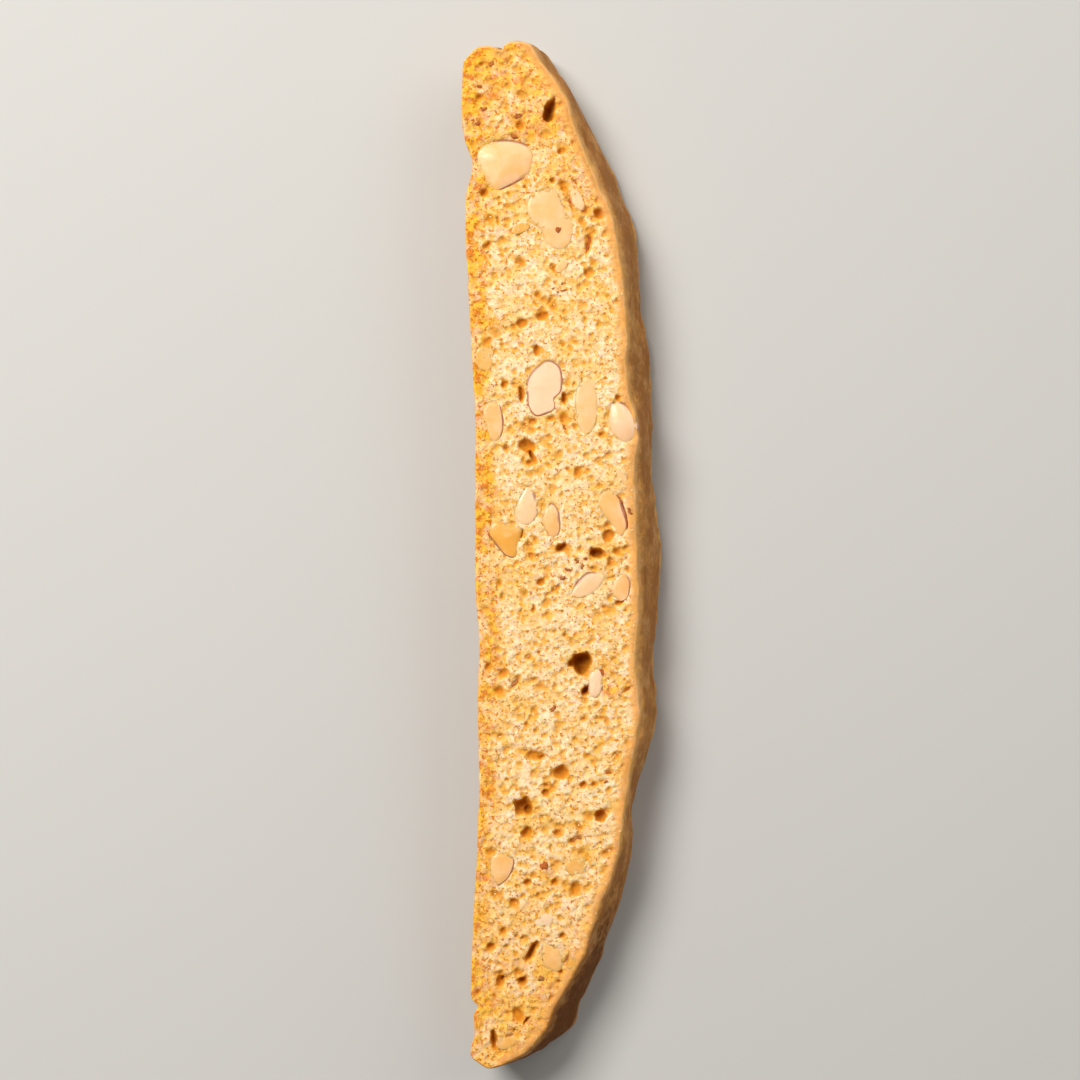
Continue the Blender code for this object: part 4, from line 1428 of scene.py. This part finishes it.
class BiscottiCrumb(bpy.types.PropertyGroup):
    """Sizes and colours of the crumb and crust."""

    upper_step: length("Upper spacing", "Distance between the upper face's points", 0.305)
    lower_step: length("Lower spacing", "Distance between the lower face's points", 0.47)
    granule_size: length("Granule size", "Width of the crumb's granules", 0.95)
    granule_height: length("Granule height", "How far the granules stand up", 0.44)
    pore_size: length("Pore size", "Usual width of the small gas holes", 0.78)
    pore_count: bpy.props.IntProperty(
        name="Pores", description="Small gas holes on the upper cut face", default=2100, min=0)
    crust_relief: length("Crust relief", "Height of the crust's soft lumps, 1 mm for their usual size", 1.0)
    crumb_colour: tint("Crumb", "Colour of the open crumb", 0.90, 0.59, 0.25)
    # Gold is real golden mottle in the crumb, and is also painted on the shallow holes and pore rims as
    # painted shade.
    gold_colour: tint("Gold", "Colour of the shallow holes and gaps", 0.82, 0.40, 0.045)
    # This cream is also painted on the granules' tops as painted highlight, besides the crumb's cream
    # mottling.
    cream_colour: tint("Granule tops", "Colour of the granules' tops", 0.95, 0.735, 0.49)
    fleck_colour: tint("Flecks", "Colour of the golden flecks", 0.88, 0.48, 0.045)
    # Painted shade: the colour painted inside the small holes and fine pits, standing for their shade.
    pore_shade_colour: tint("Pores", "Colour inside the small holes", 0.63, 0.22, 0.009)
    # Painted shade: the colour painted deep in the gas pockets, standing for their shade.
    deep_shade_colour: tint("Deep pockets", "Colour deep in the gas pockets", 0.38, 0.12, 0.005)
    toast_colour: tint("Toasted crumb", "Colour of the toasted crumb", 0.92, 0.505, 0.042)
    toast_spot_colour: tint("Toasted spots", "Colour of the darkest toasted spots", 0.66, 0.18, 0.007)
    margin_colour: tint("Margin", "Colour of the smooth crumb beside the crust", 0.80, 0.40, 0.11)
    crust_colour: tint("Crust", "Colour of the crust", 0.85, 0.40, 0.10)
    crust_pale_colour: tint("Pale crust", "Colour of the crust's palest patches", 0.84, 0.47, 0.18)
    # This dark brown is the crust's darker streaks, and is also painted towards mid-height and by the pointed
    # tip, partly as painted shade.
    crust_dark_colour: tint("Dark crust", "Colour of the crust's darker streaks", 0.40, 0.155, 0.035)
    # Painted shade, partly: near black painted on the dome's crust by the pointed tip, standing for browning
    # and for the shade of the end that faces away from the light.
    burnt_and_shade_colour: tint("Burnt crust", "Colour of the crust by the pointed tip", 0.140, 0.042, 0.004)


class BiscottiAlmonds(bpy.types.PropertyGroup):
    """Sizes and colours of the sliced almonds, their chips and flakes of skin."""

    skin_thickness: length("Skin", "Thickness of an almond's skin where it was cut", 0.25)
    flesh_colour: tint("Flesh", "Colour of the almond's flesh", 0.91, 0.56, 0.27)
    flesh_warm_colour: tint("Warm flesh", "Colour of the flesh's warmer clouds", 0.89, 0.51, 0.18)
    flesh_pale_colour: tint("Pale flesh", "Colour of the palest flesh", 0.94, 0.62, 0.40)
    flesh_toast_colour: tint("Toasted flesh", "Colour of well toasted flesh", 0.82, 0.39, 0.060)
    skin_colour: tint("Skin colour", "Colour of the skin", 0.52, 0.20, 0.105)
    skin_dark_colour: tint("Dark skin", "Colour of the skin's darker parts", 0.34, 0.105, 0.05)
    skin_pink_colour: tint("Pink skin", "Colour of the skin on the palest almonds", 0.52, 0.22, 0.14)
    flake_colour: tint("Flakes", "Colour of the brown flakes", 0.44, 0.18, 0.06)
    flake_dark_colour: tint("Dark flakes", "Colour of the flakes' darkest parts", 0.26, 0.075, 0.018)
    flake_red_colour: tint("Red flakes", "Colour of the redder flakes", 0.46, 0.115, 0.022)


class BiscottiGrains(bpy.types.PropertyGroup):
    """Sizes and colours of the loose grains."""

    grain_count: bpy.props.IntProperty(
        name="Grains", description="Loose grains on the upper cut face", default=3200, min=1)
    grain_size: length("Grain size", "Usual width of a grain", 0.42)
    light_colour: tint("Light grains", "Colour of the palest grains", 0.92, 0.68, 0.36)
    dark_colour: tint("Dark grains", "Colour of the darkest grains", 0.82, 0.46, 0.12)
    toast_colour: tint("Toasted grains", "Colour of the grains near the toasted end", 0.82, 0.40, 0.08)


class BiscottiStage(bpy.types.PropertyGroup):
    """The studio: floor, lights and camera."""

    floor_size: length("Floor", "Width of the floor", 3000)
    floor_colour: tint("Floor colour", "Colour of the floor", 0.55, 0.545, 0.53)
    key_power: power("Key light", "Power of the main light", 9.4)
    key_size: length("Key size", "Width of the main light", 350)
    key_bearing: angle("Key bearing", "Direction of the main light from +X", 136)
    key_height: angle("Key height", "Angle of the main light above the floor", 52)
    fill_power: power("Fill light", "Power of the weaker light opposite", 2.3)
    fill_size: length("Fill size", "Width of the weaker light", 800)
    fill_bearing: angle("Fill bearing", "Direction of the weaker light from +X", 45)
    fill_height: angle("Fill height", "Angle of the weaker light above the floor", 40)
    sky_strength: bpy.props.FloatProperty(
        name="Surrounding light", description="Strength of the even light all round", default=0.20, min=0.0)
    camera_aim: bpy.props.FloatVectorProperty(
        name="Aim", description="Point that the camera looks at", subtype="XYZ", unit="LENGTH",
        default=(-4.688 * MM, 2.498 * MM, THICKNESS * MM))
    camera_distance: length("Camera distance", "Distance of the camera", 447)
    camera_tilt: angle("Camera tilt", "How far the camera leans to the base's side", 4.5)
    camera_lens: bpy.props.FloatProperty(
        name="Lens", description="Focal length of the camera", default=85.0, subtype="DISTANCE_CAMERA")


class BISCOTTI_OT_crumb(bpy.types.Operator):
    """Build the slice's crumb and crust"""

    bl_idname = "biscotti.crumb"
    bl_label = "Crumb and crust"

    def execute(self, context):
        settings = context.scene.biscotti_crumb
        rng = np.random.default_rng(CRUMB_SEED)
        almonds = all_almonds()
        rows = crust_rows(settings)
        upper = CutFace(rows[0][:, :2], almonds, True, settings.upper_step / MM, rng)
        lower = CutFace(rows[-1][:, :2], almonds, False, settings.lower_step / MM, rng)
        shape_face(upper, settings, rng)
        shape_face(lower, settings, rng)
        points, faces, values = joined_slice(rows, upper, lower)
        piece = mesh_piece("biscotti_crumb", points, faces, crumb_finish(settings), values)
        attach(piece, BODY)
        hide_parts("crumb")
        return {"FINISHED"}


class BISCOTTI_OT_almonds(bpy.types.Operator):
    """Build the sliced almonds"""

    bl_idname = "biscotti.almonds"
    bl_label = "Almonds"

    def execute(self, context):
        settings = context.scene.biscotti_almonds
        finish = almond_finish(settings, context.scene.biscotti_crumb)
        for almond in all_almonds():
            name = almond.node.replace("almond", "sliced_almond")
            points, faces, values = almond_mesh(almond, settings)
            piece = mesh_piece(name, points, faces, finish, values)
            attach(piece, BODY)
            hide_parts(almond.node)
        return {"FINISHED"}


class BISCOTTI_OT_bits(bpy.types.Operator):
    """Build the small chips of almond and flakes of skin"""

    bl_idname = "biscotti.bits"
    bl_label = "Chips and flakes"

    def execute(self, context):
        settings = context.scene.biscotti_almonds
        ground = Ground("biscotti_crumb", "sliced_almond")
        rng = np.random.default_rng(BITS_SEED)
        flakes, chips = [], []
        for index, (x, y, size, turn, redness) in enumerate(upper_bits(FLAKES)):
            centre = (x, y, ground.under(x, y, True)[0] + FLAKE_LIFT)
            flakes.append(flake(centre, size, turn, index * 1.7, redness, rng))
        for index, (x, y, size, turn, toasting) in enumerate(upper_bits(CHIPS)):
            chips.append(chip(x, y, size, turn, index * 2.3, True, toasting))
        bits = lower_bits(rng, LOWER_FLAKES, ground, (1.0, 0.6))
        for index, (x, y, size, turn, redness) in enumerate(bits):
            centre = (x, y, ground.under(x, y, False)[0] - FLAKE_LIFT)
            flakes.append(flake(centre, size, turn, 50 + index, redness, rng))
        bits = lower_bits(rng, LOWER_CHIPS, ground, 1.2)
        for index, (x, y, size, turn, toasting) in enumerate(bits):
            chips.append(chip(x, y, size, turn, 80 + index, False, toasting))
        points, faces, values = gathered(flakes)
        piece = mesh_piece("almond_skin_flakes", points, faces, flake_finish(settings), values)
        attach(piece, BODY)
        points, faces, values = gathered(chips)
        piece = mesh_piece("almond_chips", points, faces, bpy.data.materials["toasted_almond"], values)
        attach(piece, BODY)
        return {"FINISHED"}


class BISCOTTI_OT_grains(bpy.types.Operator):
    """Scatter the loose grains of crumb over both cut faces"""

    bl_idname = "biscotti.grains"
    bl_label = "Loose grains"

    def execute(self, context):
        settings = context.scene.biscotti_grains
        points, faces, values = joined_grains(settings, np.random.default_rng(GRAIN_SEED))
        piece = mesh_piece("crumb_grains", points, faces, grain_finish(settings), values)
        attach(piece, BODY)
        return {"FINISHED"}


class BISCOTTI_OT_stage(bpy.types.Operator):
    """Set up the floor, the lights and the camera"""

    bl_idname = "biscotti.stage"
    bl_label = "Studio"

    def execute(self, context):
        settings = context.scene.biscotti_stage
        board(settings)
        for name in ("key", "fill"):
            looks = (getattr(settings, f"{name}_{key}") for key in ("power", "size", "bearing", "height"))
            soft_light(name, *looks)
        context.scene.world = even_light(settings.sky_strength)
        context.scene.camera = aimed_camera(settings)
        context.scene.view_settings.view_transform = "Standard"
        return {"FINISHED"}


class BISCOTTI_PT_panel(bpy.types.Panel):
    """Lists the biscotti's pieces and their settings"""

    bl_idname = "BISCOTTI_PT_panel"
    bl_label = "Almond Biscotti"
    bl_space_type = "VIEW_3D"
    bl_region_type = "UI"
    bl_category = "Biscotti"

    def draw(self, context):
        for operator, group in STEPS:
            box = self.layout.box()
            box.operator(operator.bl_idname)
            settings = getattr(context.scene, group)
            for key in settings.__annotations__:
                box.prop(settings, key)


GROUPS = {
    "biscotti_crumb": BiscottiCrumb,
    "biscotti_almonds": BiscottiAlmonds,
    "biscotti_grains": BiscottiGrains,
    "biscotti_stage": BiscottiStage,
}
STEPS = (
    (BISCOTTI_OT_crumb, "biscotti_crumb"),
    (BISCOTTI_OT_almonds, "biscotti_almonds"),
    (BISCOTTI_OT_bits, "biscotti_almonds"),
    (BISCOTTI_OT_grains, "biscotti_grains"),
    (BISCOTTI_OT_stage, "biscotti_stage"),
)
CLASSES = (*GROUPS.values(), *(operator for operator, _ in STEPS), BISCOTTI_PT_panel)


def register():
    for made in CLASSES:
        bpy.utils.register_class(made)
    for name, group in GROUPS.items():
        setattr(bpy.types.Scene, name, bpy.props.PointerProperty(type=group))


def unregister():
    for name in GROUPS:
        delattr(bpy.types.Scene, name)
    for made in reversed(CLASSES):
        bpy.utils.unregister_class(made)


def main():
    register()
    for operator, _ in STEPS:
        group, name = operator.bl_idname.split(".")
        getattr(getattr(bpy.ops, group), name)()


if __name__ == "__main__":
    main()
